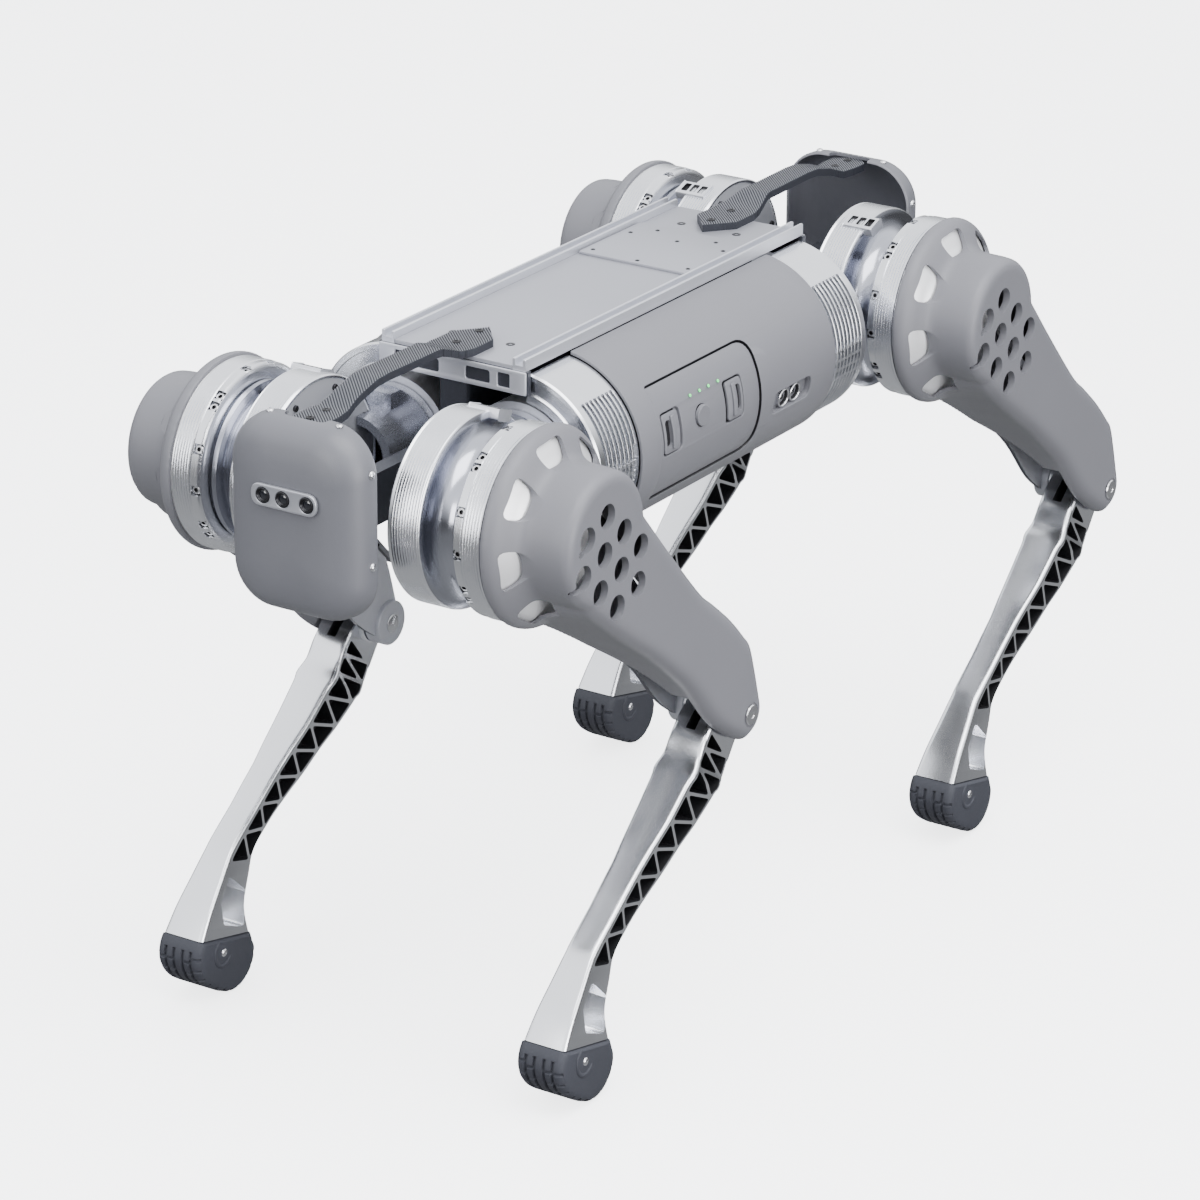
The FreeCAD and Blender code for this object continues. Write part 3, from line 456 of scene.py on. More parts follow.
def finish_piece(name, mesh, matrix, body, look, replaced):
    """A mesh in millimetres, carried by matrix to its place, with its finish and its body."""
    mesh = mesh.copy()
    mesh.transform(matrix)
    if matrix.determinant() < 0:
        mesh.flip_normals()
    mesh.name = name
    mesh.shade_smooth()
    mesh.set_sharp_from_angle(angle=math.radians(35))
    looks = [look] if isinstance(look, str) else look
    chosen = [polygon.material_index for polygon in mesh.polygons]
    mesh.materials.clear()
    for word in looks:
        mesh.materials.append(MATERIALS[word])
    mesh.polygons.foreach_set("material_index", chosen)
    thing = bpy.data.objects.new(name, mesh)
    bpy.context.scene.collection.objects.link(thing)
    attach(thing, body)
    if replaced:
        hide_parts(*replaced)


AT_TRUNK = Matrix.Translation(TRUNK) @ MM


def trunk_piece(name, mesh, look, replaced=(), body="trunk"):
    """A piece drawn about the middle of the four hips."""
    finish_piece(name, mesh, AT_TRUNK, body, look, replaced)


def leg_pieces(name, mesh, body, look, replaces=()):
    """One copy of a leg piece on each leg. body is hip, thigh or shin."""
    for end, forward in ENDS.items():
        for side, out in SIDES.items():
            leg = f"{end}_{side}"
            centre, tilt, flip = JOINTS[f"thigh_swing_{leg}"], THIGH_TILT, 1
            if body == "hip":
                tilt, flip = 0, forward
            if body == "shin":
                centre, tilt = JOINTS[f"knee_{leg}"], SHIN_TILT
            matrix = Matrix.Translation((centre.x, 0, centre.z)) @ Matrix.Rotation(tilt, 4, "Y")
            matrix = matrix @ Matrix.Diagonal((flip, out, 1, 1)) @ MM
            finish_piece(f"{name}_{leg}", mesh, matrix, f"{body}_{leg}", look,
                         [f"{node}_{leg}" for node in replaces])


# --- small parts


def socket_screw(head, height, socket):
    """A socket-head screw about Y, its seat at 0 and its head outwards."""
    rim = 0.4
    rings = [hoop(head, 0), hoop(head, height - rim), hoop(head - rim, height)]
    for level in (height, height - 2.4):
        ring = []
        for k in range(24):
            turn = math.radians(15 * k)
            reach = socket * math.cos(math.pi / 6) / math.cos((turn % (math.pi / 3)) - math.pi / 6)
            ring.append((reach * math.cos(turn), level, reach * math.sin(turn)))
        rings.append(ring)
    mesh = sweep(rings)
    # Faces inside the socket take the second material, which is black: painted shade in the socket.
    for polygon in mesh.polygons:
        x, y, z = polygon.center
        if math.hypot(x, z) < socket + 0.1 and 0.1 < y < height - 0.1:
            polygon.material_index = 1
    return mesh


def dome_screw(head, height):
    """A round-headed screw about Y with a small round socket."""
    rings = []
    for step in range(5):
        a = math.radians(18 * step)
        rings.append(hoop(head * math.cos(a), height * math.sin(a)))
    floor = height * math.sin(math.radians(72))
    return sweep(rings + [hoop(1.0, floor), hoop(0.95, floor - 1.4)])


# --- thigh
WIDE_RIM = (80, 65, 51, 40, -52, -71, -80)
NARROW_RIM = (58, 55, 47, 38, -46, -49, -50)
VENTS = [(-18 + 34 * n, -15 - 3.5 * n) for n in range(3)]
VENTS += [(-31 + 34 * n, 15 - 3.7 * n) for n in range(4)]
VENTS += [(-12 + 34 * n, 42 - 3.5 * n) for n in range(3)]
TAILED = (3, 7)
RIM = 163
FACE = 235
WINDOW_PLACES = (-61, -11, 37, 84, 132)


def thigh_outline(rim, lobe):
    """Side view of the thigh as (forward, up)."""
    front = [(-22, 38), (20, rim[0]), (60, rim[1]), (110, rim[2]), (160, rim[3]), (230, 31),
             (298, 33)]
    tip = arc(338, 0, lobe, 62, -68, 5)
    back = [(300, -49), (282, -51.5), (250, -51.5), (215, -48), (181, -44), (105, rim[4]),
            (45, rim[5]), (20, rim[6]), (-22, -38)]
    line = front + tip + back
    return smooth_line([(forward, -along) for along, forward in line], 5, closed=True)


def thigh_arm(thickness):
    """The arm of the thigh as a closed solid, inside its outer skin by thickness."""
    wide, narrow = thigh_outline(WIDE_RIM, 26), thigh_outline(NARROW_RIM, 26)
    flare = ((163, 1), (168, 0.9), (175, 0.68), (184, 0.40), (196, 0.20), (210, 0.08), (222, 0))
    top = FACE - thickness
    edge = 13 - thickness / 2
    levels = [(RIM - thickness, 0), (168, 0), (173, 0), (179, 0), (186, 0), (196, 0), (208, 0),
              (top - edge, 0)]
    for step in range(1, 7):
        a = math.radians(15 * step)
        levels.append((top - edge + edge * math.sin(a), edge * (1 - math.cos(a))))
    rings = []
    for level, pulled in levels:
        share = value_at(flare, level)
        line = [(n[0] + (w[0] - n[0]) * share, n[1] + (w[1] - n[1]) * share)
                for w, n in zip(wide, narrow)]
        line = shrunk(line, thickness + pulled)
        rings.append([(x, level, z) for x, z in line])
    return sweep(rings)


def at_vents(mesh):
    """A copy of a mesh at each vent."""
    return joined(*[moved(mesh, forward, 0, -along) for along, forward in VENTS])


def window_outline(place):
    """A rounded window between two radii, as (forward, up), at an angle of the standing robot."""
    corners = []
    for radius, turn in ((63.5, -12.5), (84.5, -14.5), (84.5, 14.5), (63.5, 12.5)):
        a = math.radians(place + math.degrees(THIGH_TILT) + turn)
        corners.append((radius * math.cos(a), radius * math.sin(a)))
    return rounded(corners, 8)


def thigh_cover():
    """Shell over the knee motor with dished windows, deep vents and a solid cheek at the knee."""
    disc = [(0, RIM), (89.7, RIM), (89.7, 168), (88.8, 171.6), (86, 175.2), (80, 179.6),
            (72, 184), (66.4, 187.4), (63.4, 191.6), (62.4, 197), (62, 207),
            (61.8, 219), (61, 228), (58, 233), (53, FACE), (40, FACE), (0, FACE)]
    outer = joined(lathe(disc), thigh_arm(0))
    thing = holder(outer)
    remesh = thing.modifiers.new("remesh", "REMESH")
    remesh.mode = "VOXEL"
    remesh.voxel_size = 1.9
    soft = thing.modifiers.new("soft", "SMOOTH")
    soft.iterations = 7
    skin = applied(thing)
    surface = surface_of(skin)

    wall = 3.5
    disc_room = lathe([(0, RIM - 3), (86.2, RIM - 3), (86.2, 167.6), (84.6, 171), (78, 176.6),
                       (70, 181), (63.4, 184.8), (59.8, 190), (58.6, 197), (58.2, 207),
                       (57.6, 216), (56, 223.4), (52.6, 228.4), (47, 231), (38, 231.5),
                       (0, 231.5)])
    arm_room = combine(thigh_arm(wall), prism([(-150, -272), (150, -272), (150, 90), (-150, 90)],
                                              100, 300), "INTERSECT")
    frames = at_vents(lathe([(0, 228), (13.6, 228), (13.6, 250), (0, 250)], 32))
    for room in (disc_room, arm_room):
        skin = combine(skin, combine(room, frames))
    fork = prism([(-46, -400), (80, -400), (80, -250), (-46, -250)], RIM - 3, 221)
    fork_end = prism([(-70, -400), (80, -400), (80, -306), (-70, -306)], RIM - 3, 221)
    ramp = sweep([[(x, 160, -130), (x, 160, -300), (x, 221, -300)] for x in (8, 80)])
    for tool in (fork, fork_end, ramp):
        skin = combine(skin, tool)
    hole = lathe([(0, 215), (11.4, 215), (11.4, FACE - 0.7), (12.6, 250), (0, 250)], 40)
    skin = combine(skin, at_vents(hole))
    tails = []
    for number in TAILED:
        along, forward = VENTS[number]
        tails.append(prism(rectangle(forward + 6, forward + 17.5, -along - 3.3, -along + 3.3,
                                     3.2), 226, 250))
    skin = combine(skin, joined(*tails))
    windows = [prism(window_outline(place), 150, 199) for place in WINDOW_PLACES]
    skin = combine(skin, joined(*windows))
    recess = moved(lathe([(0, 234), (11.6, 234), (12.2, 250), (0, 250)], 48), 0, 0, -THIGH)
    bore = moved(lathe([(0, 190), (7.2, 190), (7.2, 250), (0, 250)], 40), 0, 0, -THIGH)
    skin = combine(combine(skin, recess), bore)
    # Faces more than 2.4 below the outer skin, the inside of the shell seen through windows and
    # vents, are painted black except the vent tubes: painted shade inside the shell.
    for polygon in skin.polygons:
        depth = surface.find_nearest(polygon.center)[3]
        if depth > 2.4 and polygon.center.z > -290 and polygon.center.y < 231:
            x, y, z = polygon.center
            tube = min(math.hypot(x - f, z + a) for a, f in VENTS) < 13.9 and y > 227.6
            polygon.material_index = 0 if tube else 1
    return skin


def knee_pin():
    """Headed pin with a centre mark, about the knee."""
    profile = [(0, 157), (7.6, 157), (9, 157.8), (9, 159), (7, 159), (7, 234.2), (9.6, 234.2),
               (9.6, 235.6), (8.8, 236.6), (3.2, 236.7), (2.6, 236), (0, 235.6)]
    return lathe(profile, 48)


def ribs(start, end, radius):
    """Profile points of fine turned ribs from one height to another."""
    depth, pitch = 1.1, 2.8
    points = []
    for number in range(round((end - start) / pitch)):
        low = start + number * pitch
        points += [(radius - depth, low), (radius, low + 0.25 * pitch),
                   (radius, low + 0.7 * pitch), (radius - depth, low + 0.95 * pitch)]
    return points


def around(mesh, angles, radius, height, outwards=False):
    """Copies of a small part at angles about Y. Outwards ones stand on the rim."""
    copies = []
    for angle in angles:
        part = moved(mesh, radius, height, 0, TO_X if outwards else None)
        part.transform(Matrix.Rotation(-math.radians(angle), 4, "Y"))
        copies.append(part)
    return joined(*copies)


def thigh_frame():
    """Inner plate with its bright motor face and knee boss, about the hip."""
    line = shrunk(thigh_outline(WIDE_RIM, 26), 8)
    arm = [p for p in line if p[1] < -30]
    body = prism(rounded(arm, 2, 1), 163.3, 167.8)
    window = [(28, -118), (24, -150), (-26, -150), (-28, -118)]
    body = combine(body, prism(rounded(window, 4), 150, 164.6))
    for polygon in body.polygons:
        if 163.4 < polygon.center.y < 166:
            polygon.material_index = 1
    face = lathe([(0, 163.3), (85.0, 163.3), (85.6, 164), (85.6, 166.4), (83.8, 170), (77.4, 175.4),
                  (69.4, 179.8), (61.6, 183.8), (57.4, 188.6), (54, 193), (0, 193)])
    boss = moved(lathe([(7.2, 159), (20.8, 159), (21.5, 159.8), (21.5, 174.6), (20.8, 175.3),
                        (7.2, 175.3)], 64), 0, 0, -THIGH)
    return joined(body, boss), face


def knee_drum():
    """Ribbed band by the cover and a smooth band with screw pockets toward the robot."""
    profile = [(0, 131), (66, 131), (67, 132.2), (80, 132.2), (84, 133), (86.4, 135),
               (86.4, 141.4), (85.6, 142)]
    profile += ribs(142.4, 162.2, 87) + [(86, 162.4), (85.4, 163), (0, 163)]
    drum = lathe(profile, 144)
    angles = (8, 17, 41, 66, 93, 101, 128, 150, 176, 184, 215, 238, 246, 270, 297, 305, 331)
    pocket = around(prism(rectangle(-4, 8, -4.6, 4.6, 2), 133.2, 141.9), angles, 83.0, 0)
    drum = combine(drum, pocket)
    screws = around(socket_screw(3.9, 5.4, 2.3), angles, 78.6, 137.6, outwards=True)
    return drum, screws


def thigh_drum():
    """Wide ribbed drum, dished neck and output ring of the thigh motor."""
    profile = [(0, 67.7), (83.6, 67.7), (84.4, 67), (86.4, 67.2), (87.4, 68.6)]
    profile += ribs(70.5, 98.6, 87.5)
    profile += [(87.2, 99.2), (86.2, 100), (80, 100.8), (73, 102.8), (67.5, 106), (64, 110.4),
                (62.2, 116), (62, 121), (61.2, 122), (61.2, 124), (72.4, 124.6), (72.4, 129.4),
                (71.6, 130), (30, 130), (30, 138), (0, 138)]
    drum = lathe(profile, 144)
    for polygon in drum.polygons:
        x, y, z = polygon.center
        if y < 67.8 and math.hypot(x, z) < 83.7:
            polygon.material_index = 1
        # The dished neck and output ring take the third, darker metal: a painted dark reflection.
        if y > 100.2:
            polygon.material_index = 2
    screws = around(moved(socket_screw(3.1, 3.2, 1.6), turn=OVER),
                    range(20, 380, 45), 76, 68.6)
    return drum, screws


def connector_block():
    """Terminal block on top of the thigh motor, with black slots in its top."""
    block = crowned(rounded([(-9.5, 80), (9.5, 80), (9.5, 89.4), (-9.5, 89.4)], 1.6),
                    [(78, 0.8), (78.8, 0), (109, 0), (109.8, 0.8)])
    slots = [prism_up(rectangle(-6, 6, 81 + 9.2 * n, 88 + 9.2 * n, 1.5), 86, 96)
             for n in range(3)]
    block = combine(block, joined(*slots))
    for polygon in block.polygons:
        x, y, z = polygon.center
        if abs(x) < 6.2 and 80.8 < y < 106.6 and 85.9 < z < 89.2:
            polygon.material_index = 1
    block.transform(Matrix.Rotation(math.radians(-20), 4, "Y"))
    return block


# --- shin
SHIN_FRONT = [(20, 26), (40, 28.5), (60, 26), (77, 28.5), (100, 31.5), (125, 35), (153, 41),
              (175, 45), (200, 50), (222, 54), (249, 60), (269, 63), (300, 63), (328, 63),
              (354, 60)]
SHIN_BACK = [(20, -20), (38, -25), (56, -27), (69, -24.5), (82, -22), (109, -14), (134, -6),
             (161, 1), (186, 11), (212, 20), (241, 27), (255, 27), (271, 24), (300, 14),
             (318, -6)]
SHIN_HALF = [(20, 18), (60, 19.5), (75, 22.5), (84, 20.4), (125, 19), (175, 15.4), (222, 14.8),
             (270, 15), (300, 17.4), (334, 20.5), (354, 22)]
FRONT_NODES = (30, 47, 66, 92, 122, 152, 182, 212, 244, 276)
BACK_NODES = (38, 58, 79, 107, 137, 167, 197, 228, 262)
LEVER = (10.9, 28.0)


def blade():
    """The bowed bar of the shin, wide at the ends and slim in the middle."""
    front = smooth_line([(x, -s) for s, x in SHIN_FRONT], 4)
    back = smooth_line([(x, -s) for s, x in SHIN_BACK], 4)
    rings = []
    for first, last in zip(front, back):
        ahead, behind = Vector(first), Vector(last)
        across = ahead - behind
        half = value_at(SHIN_HALF, -first[1])
        section = rounded([(0, -half), (across.length, -half), (across.length, half),
                           (0, half)], 5.0, 4)
        unit = across.normalized()
        rings.append([(behind.x + unit.x * u, LEG_MID + v, behind.y + unit.y * u)
                      for u, v in section])
    return sweep(rings)


def shin_pockets():
    """Triangles of the lattice between the front and back edges of the shin."""
    flange, rib = 4.2, 1.5
    front = [(value_at(SHIN_FRONT, s) - flange, -s) for s in FRONT_NODES]
    back = [(value_at(SHIN_BACK, s) + flange, -s) for s in BACK_NODES]
    triangles = [[front[n], front[n + 1], low] for n, low in enumerate(back)]
    triangles += [[back[n], front[n + 1], back[n + 1]] for n in range(len(back) - 1)]
    tools = []
    for triangle in triangles:
        outline = rounded(inset(triangle, rib), 2.2, 3)
        tools.append(prism(outline, LEG_MID + 1.3, LEG_MID + 40))
        tools.append(prism(outline, LEG_MID - 40, LEG_MID - 1.3))
    window = rounded([(value_at(SHIN_BACK, 292) + 5, -288), (value_at(SHIN_FRONT, 292) - 11, -286),
                      (52, -312), (36, -328), (6, -318)], 4, 4)
    tools.append(prism(window, LEG_MID + 3, LEG_MID + 40))
    tools.append(prism(window, LEG_MID - 40, LEG_MID - 3))
    return joined(*tools)


def shin():
    """Lower leg with its lattice and knee fork."""
    lobe = lathe([(0, -21.5), (22, -21.5), (23, -20.5), (23, 20.5), (22, 21.5), (0, 21.5)], 64)
    lobe = moved(lobe, 0, LEG_MID, 0)
    shoulder = crowned(rounded([(22, -2), (27, -24), (27, -44), (-26, -44), (-24, -22),
                                (-22, -2)], 5), [(LEG_MID - 18.6, 1.5), (LEG_MID - 17.4, 0),
                                                 (LEG_MID + 17.4, 0), (LEG_MID + 18.6, 1.5)])
    whole = combine(combine(blade(), lobe, "UNION"), shoulder, "UNION")
    surface = surface_of(whole)
    whole = combine(whole, shin_pockets())
    slot = prism(rounded([(-9, -30), (60, -38), (60, 60), (-9, 60)], 4), 193.2, 202.8)
    whole = combine(whole, slot)
    bore = lathe([(0, 150), (7.2, 150), (7.2, 250), (0, 250)], 40)
    whole = combine(whole, bore)
    # Faces cut into the shin above the foot, pocket walls and floors, the knee slot and the bore,
    # are painted black: painted shade in the pockets and slot.
    for polygon in whole.polygons:
        if polygon.center.z > -286 and surface.find_nearest(polygon.center)[3] > 1.0:
            polygon.material_index = 1
    return whole


def shin_lever():
    """Two plates and a pin that carry the push rod above the knee."""
    tip = Vector(LEVER)
    side = Vector((-tip.y, tip.x)).normalized()
    turn = math.degrees(math.atan2(tip.y, tip.x))
    line = arc(tip.x, tip.y, 9, turn - 90, turn + 90, 10)
    line += [tuple(side * 10), tuple(-side * 10)]
    plates = [prism(line, low, high) for low, high in ((186, 193), (203, 210))]
    pin = moved(lathe([(0, 185.2), (4.4, 185.2), (5, 186), (5, 210), (4.4, 210.8), (0, 210.8)],
                      32), tip.x, 0, tip.y)
    return joined(*plates, pin)


# --- foot


def foot():
    """Rubber boot with grooves along and across its sole."""
    sole = [(32 * math.sin(math.radians(a)), -348 - 32 * math.cos(math.radians(a)))
            for a in range(-133, -13, 3)]
    toe = smooth_line([(0, -381.4), (14, -384), (28, -385), (42, -382), (53, -374.5),
                       (59, -364), (60.3, -355)], 6)
    start = Vector((-8, -318))
    dense = []
    corners = [tuple(start)] + sole + toe
    for first, second in zip(corners, corners[1:]):
        gap = Vector(second) - Vector(first)
        count = max(1, round(gap.length / 1.2))
        dense += [tuple(Vector(first) + gap * k / count) for k in range(count)]
    dense.append(corners[-1])
    top = 14
    line = dense + [tuple(Vector(corners[-1]).lerp(start, (k + 1) / top)) for k in range(top - 1)]
    count = len(dense)
    run = [0.0]
    for first, second in zip(dense, dense[1:]):
        run.append(run[-1] + (Vector(second) - Vector(first)).length)
    rings = []
    for height in [k - FOOT_HALF for k in range(51)]:
        edge = max(abs(height) - (FOOT_HALF - 7), 0) / 7
        crown = 7 * (1 - math.sqrt(max(1 - edge * edge, 0)))
        narrowed = [tuple(FOOT + (Vector(p) - FOOT) * (1 - crown / 34)) for p in line]
        depths = []
        for k in range(len(line)):
            depth = 0.0
            if 6 < k < count - 8:
                lane = min(abs(height - c) for c in (-14, -5, 5, 14))
                phase = 9 if height > 5 or -5 > height > -14 else 4
                cross = (run[k] + phase) % 13 < 2.2 and abs(height) > 5.5
                if (lane < 1.1 or cross) and abs(height) < 24:
                    depth = -2.6
            depths.append(depth)
        rings.append([(x, LEG_MID + height, z) for x, z in shrunk(narrowed, depths)])
    boot = sweep(rings)
    ridges = []
    for side in (1, -1):
        path = []
        for step in range(41):
            a = math.radians(165 + 5.6 * step)
            reach = 11.5 + 0.07 * step
            thin = 1.5 * min(1, 0.3 + step / 6, 0.3 + (40 - step) / 6)
            centre = Vector((FOOT.x + reach * math.cos(a), LEG_MID + side * (FOOT_HALF - 0.3),
                             FOOT.y + reach * math.sin(a)))
            ring = [centre + Vector((math.cos(a), 0, math.sin(a))) * 1.5 * thin * math.cos(t)
                    + Vector((0, thin, 0)) * math.sin(t)
                    for t in [math.radians(30 * k) for k in range(12)]]
            path.append([tuple(p) for p in ring])
        ridges.append(sweep(path))
    return joined(boot, *ridges)


# --- trunk: barrels


def patch(edges, corner, thickness, bevel, lift):
    """A rounded rectangle (x0, x1, low, high) as a plate bent onto the barrel."""
    return wrapped(plate([rectangle(*edges, corner)], thickness, bevel), lift)


def side_cover(sign):
    """Wrapped cover of one barrel. The left one has the battery window and a port window."""
    low, high = math.radians(-136) * BARREL_RADIUS, math.radians(82.5) * BARREL_RADIUS
    outlines = [rectangle(-166.5, 166.5, low, high, 2)]
    if sign > 0:
        outlines.append(two_radii(rectangle(-34.6, 134.6, -52, 61.8), (20, 3, 3, 20)))
        outlines.append(rectangle(-123, -57, -24.5, -2.5, 8))
    mesh = moved(plate(outlines, 3, 0.5), 0, 0, -3)
    for polygon in mesh.polygons:
        x, y, _ = polygon.center
        in_window = -36 < x < 136 and -53.5 < y < 63
        dark = y < -48 or x < 30 or y > 58
        if sign > 0 and in_window and abs(polygon.normal.z) < 0.5 and dark:
            polygon.material_index = 1
    return mirrored(wrapped(mesh), 1, sign)


def battery():
    """Battery face in the window of the left cover, with wells for latches and button."""
    face = [two_radii(rectangle(-32.8, 132.8, -50.2, 60), (18.4, 2.4, 2.4, 18.4))]
    for start, end in ((98, 129.5), (-6.5, 25)):
        face.append(rectangle(start, end, -8, 33, 5))
    face.append(circle(65, 13.5, 10.6, 32))
    mesh = wrapped(plate(face, 4, 0.6), -5.6)
    # The box behind the face and the plate under the gap are painted black: painted shade in the
    # gap round the battery face.
    back = painted(prism(rectangle(-34, 134, -52, 60, 6), 12, 131))
    floor_plate = painted(patch((-36.5, 136.5, -54, 64), 0, 1, 0.1, -6.4))
    steps = [patch((start, end, -9, 34), 0, 1, 0.1, -5.8) for start, end in ((97, 102), (21, 26))]
    return joined(mesh, back, floor_plate, *steps)


def ports():
    """Two round sockets with bright rims on the floor of their recess."""
    floor_plate = moved(plate([rectangle(-125, -55, -26.5, -0.5, 9)], 1.5, 0.2), 0, 0, -8)
    wall = plate([rectangle(-124, -56, -25.5, -1.5, 8.6),
                  rectangle(-122.6, -57.4, -24.1, -2.9, 7.6)], 5, 0.2)
    recess = wrapped(joined(floor_plate, moved(wall, 0, 0, -7.5)))
    rim = lathe([(7.4, 0), (9.3, 0), (9.3, 5.4), (8.8, 6), (8.0, 6), (7.4, 5.2)], 40)
    cup = lathe([(0, 0), (7.5, 0), (7.5, 4.4), (6.8, 4.4), (6.8, 1.5), (2.4, 1.5), (2.4, 3.4),
                 (0, 3.4)], 40)
    low = math.asin(13.5 / BARREL_RADIUS)
    lean = Matrix.Rotation(low, 4, "X").inverted()
    at = [(place, BARREL_Y + 80.5 * math.cos(low), -12.6) for place in (-80, -100)]
    rims = joined(*[moved(rim, *spot, lean) for spot in at])
    cups = joined(*[moved(cup, *spot, lean) for spot in at])
    return recess, rims, cups


def latch(place, pocket):
    """Sliding latch with a finger pocket, about the battery face."""
    dip, crest = place + pocket, place - pocket * 0.45
    body = patch((place - 12.6, place + 12.6, -6.2, 31.2), 4, 2.6, 0.5, -4)
    dent = patch((dip - 4.4, dip + 4.4, 0, 25), 3.5, 8, 0.3, -6)
    ridge = patch((crest - 3, crest + 3, -3, 28), 2, 2.4, 0.8, -1.8)
    # The plate under the finger pocket is painted black: painted shade in the pocket.
    well = painted(patch((dip - 5, dip + 5, -1, 26), 4, 0.6, 0.1, -4.6))
    return joined(combine(body, dent), ridge, well)


def housing(end):
    """Finned housing of two hip motors, smooth and with one narrow slot above its fins."""
    fins, first, width, pitch, outer = 8, 171.4, 4.2, 6.3, 85.7
    bars = (1.5, -5.0, -11.5, -18.0)
    angles = {83.0, 47.5, 46.0, 44.5, 43.0}
    angles |= {83.0 - 3.0 * n for n in range(74)}
    for bar in bars:
        angles |= {bar - 1.0, bar - 0.8, bar + 0.8, bar + 1.0}
    angles = sorted(a for a in angles if a >= -136)
    meshes = []
    for sign in SIDES.values():
        rings = []
        for angle in angles:
            grown = min(max((47.5 - angle) / 3, 0), 1)
            on_bar = any(abs(angle - bar) < 0.9 for bar in bars)
            depth = 7.0 * grown * (0.12 if on_bar else 1)
            line = [(58, 167.2), (84.6, 167.2), (outer, 168)]
            for n in range(fins):
                low = first + n * pitch
                line += [(outer, low - 0.3), (outer - 0.3 * grown, low),
                         (outer - depth, low + 0.3), (outer - depth, low + width - 0.3),
                         (outer - 0.3 * grown, low + width), (outer, low + width + 0.3)]
            line += [(outer, 227.6), (84.2, 229.6), (80, 229.6), (79.4, 227.4), (68, 227.0),
                     (66.6, 229.2), (59, 229.2), (58, 228.4)]
            a = math.radians(angle)
            rings.append([(x, BARREL_Y + r * math.cos(a), r * math.sin(a)) for r, x in line])
        mesh = sweep(rings)
        slot = prism(rectangle(168.8, 171.6, -26, 18, 1.2), 100, 200)
        tube = lathe([(82, 160), (100, 160), (100, 180), (82, 180)])
        tube = moved(tube, 0, BARREL_Y, 0, Y_TO_X)
        mesh = combine(mesh, combine(slot, tube, "INTERSECT"))
        meshes.append(mirrored(mesh, end, sign))
    return joined(*meshes)


# --- trunk: deck


def rail(sign):
    """U-shaped accessory rail with an undercut slot."""
    section = [(0, 0), (13.3, 0), (13.3, 10.6), (12.9, 11.1), (10.9, 11.1), (10.65, 10.8),
               (10.65, 4.6), (2.65, 4.6), (2.65, 10.8), (2.4, 11.1), (0.4, 11.1), (0, 10.6)]
    rings = []
    for x, pull in ((-235, 0.5), (-234.5, 0), (234.5, 0), (235, 0.5)):
        rings.append([(x, 63 + y, 88.5 + z - (pull if z > 5 else 0)) for y, z in section])
    return mirrored(sweep(rings), 1, sign)


def deck():
    """Bead-blasted deck plate between the rails."""
    mesh = plate([rectangle(-235, 235, -62.8, 62.8, 1.0)], 4, 0.5)
    return moved(mesh, 0, 0, 88.5)


def countersunk(places, level, radius):
    """Flush black screws with hex sockets."""
    screw = lathe([(0, -0.4), (radius, -0.4), (radius, 0.25), (radius * 0.8, 0.5),
                   (radius * 0.45, 0.5), (radius * 0.4, -0.2), (0, -0.3)], 24)
    return joined(*[moved(screw, x, y, level, TO_Z) for x, y in places])


def fascia(end):
    """End plate of the deck frame with dark windows."""
    holes = [rectangle(-61, -48, 71, 84, 1.5), rectangle(-40, -14, 71.5, 83.5, 2.5),
             rectangle(14, 40, 71.5, 83.5, 2.5), rectangle(48, 61, 71, 84, 1.5)]
    mesh = plate([rectangle(-78, 78, 66.9, 88.3, 1.5)] + holes, 2.2, 0.6)
    mesh.transform(FACING_X)
    return mirrored(moved(mesh, 235.1), end, 1)


# --- heads and handles


def pillow(distance, x):
    """One ring of the head shell, moved in by a distance."""
    half, low, high, corner = 70, -79, 98, 42
    radius = max(corner - distance * 0.75, 5)
    ring = []
    y, bottom, top = half - distance, low + distance, high - distance
    for cy, cz, start in ((y - radius, top - radius, 90), (radius - y, top - radius, 180),
                          (radius - y, bottom + radius, 270), (y - radius, bottom + radius, 360)):
        for step in range(13):
            a = math.radians(start - 90 + 7.5 * step)
            ring.append((x, cy + radius * math.cos(a), cz + radius * math.sin(a)))
    return ring


def head_shell():
    """Soft-edged shell with a rolled rim and a scoop at the top for the handle."""
    rings = [pillow(*ring) for ring in ((64, 490), (48, 489.6), (34, 488.6), (28, 487.6))]
    for step in range(1, 9):
        a = math.radians(11.25 * step)
        rings.append(pillow(26 - 25.4 * math.sin(a), 461 + 25.6 * math.cos(a)))
    rings += [pillow(*ring) for ring in ((0.2, 455), (0.6, 453), (1.4, 452.2), (2.4, 452),
                                         (3.0, 453), (3.4, 456), (3.6, 461))]
    for step in range(1, 8):
        a = math.radians(90 - 11.25 * step)
        rings.append(pillow(26.5 - 22.9 * math.sin(a), 461 + 22.6 * math.cos(a)))
    rings += [pillow(34, 484.8), pillow(64, 486)]
    shell = sweep(rings)
    scoop = prism_up(rectangle(440, 462, -22, 22, 7), 84, 120)
    shell = combine(shell, scoop)
    for polygon in shell.polygons:
        centre = polygon.center
        # Faces turned to the inside of the shell take its second, darker material: painted shade on
        # the inside.
        if polygon.normal.dot(Vector((472 - centre.x, -centre.y, 7 - centre.z))) > 0:
            polygon.material_index = 1
        if centre.x < 454:
            polygon.material_index = 2
    return shell


def head_screws():
    """Bright dome screws round the rim of the shell."""
    screws = []
    for z in (60, -23):
        for side in SIDES.values():
            turn = None if side > 0 else HALF_TURN
            screws.append(moved(dome_screw(3.8, 2.4), 460.5, 69.4 * side, z, turn))
    for y in (-36, 36):
        screws.append(moved(dome_screw(3.4, 2.0), 459.5, y, 97, TO_Z))
    return joined(*screws)


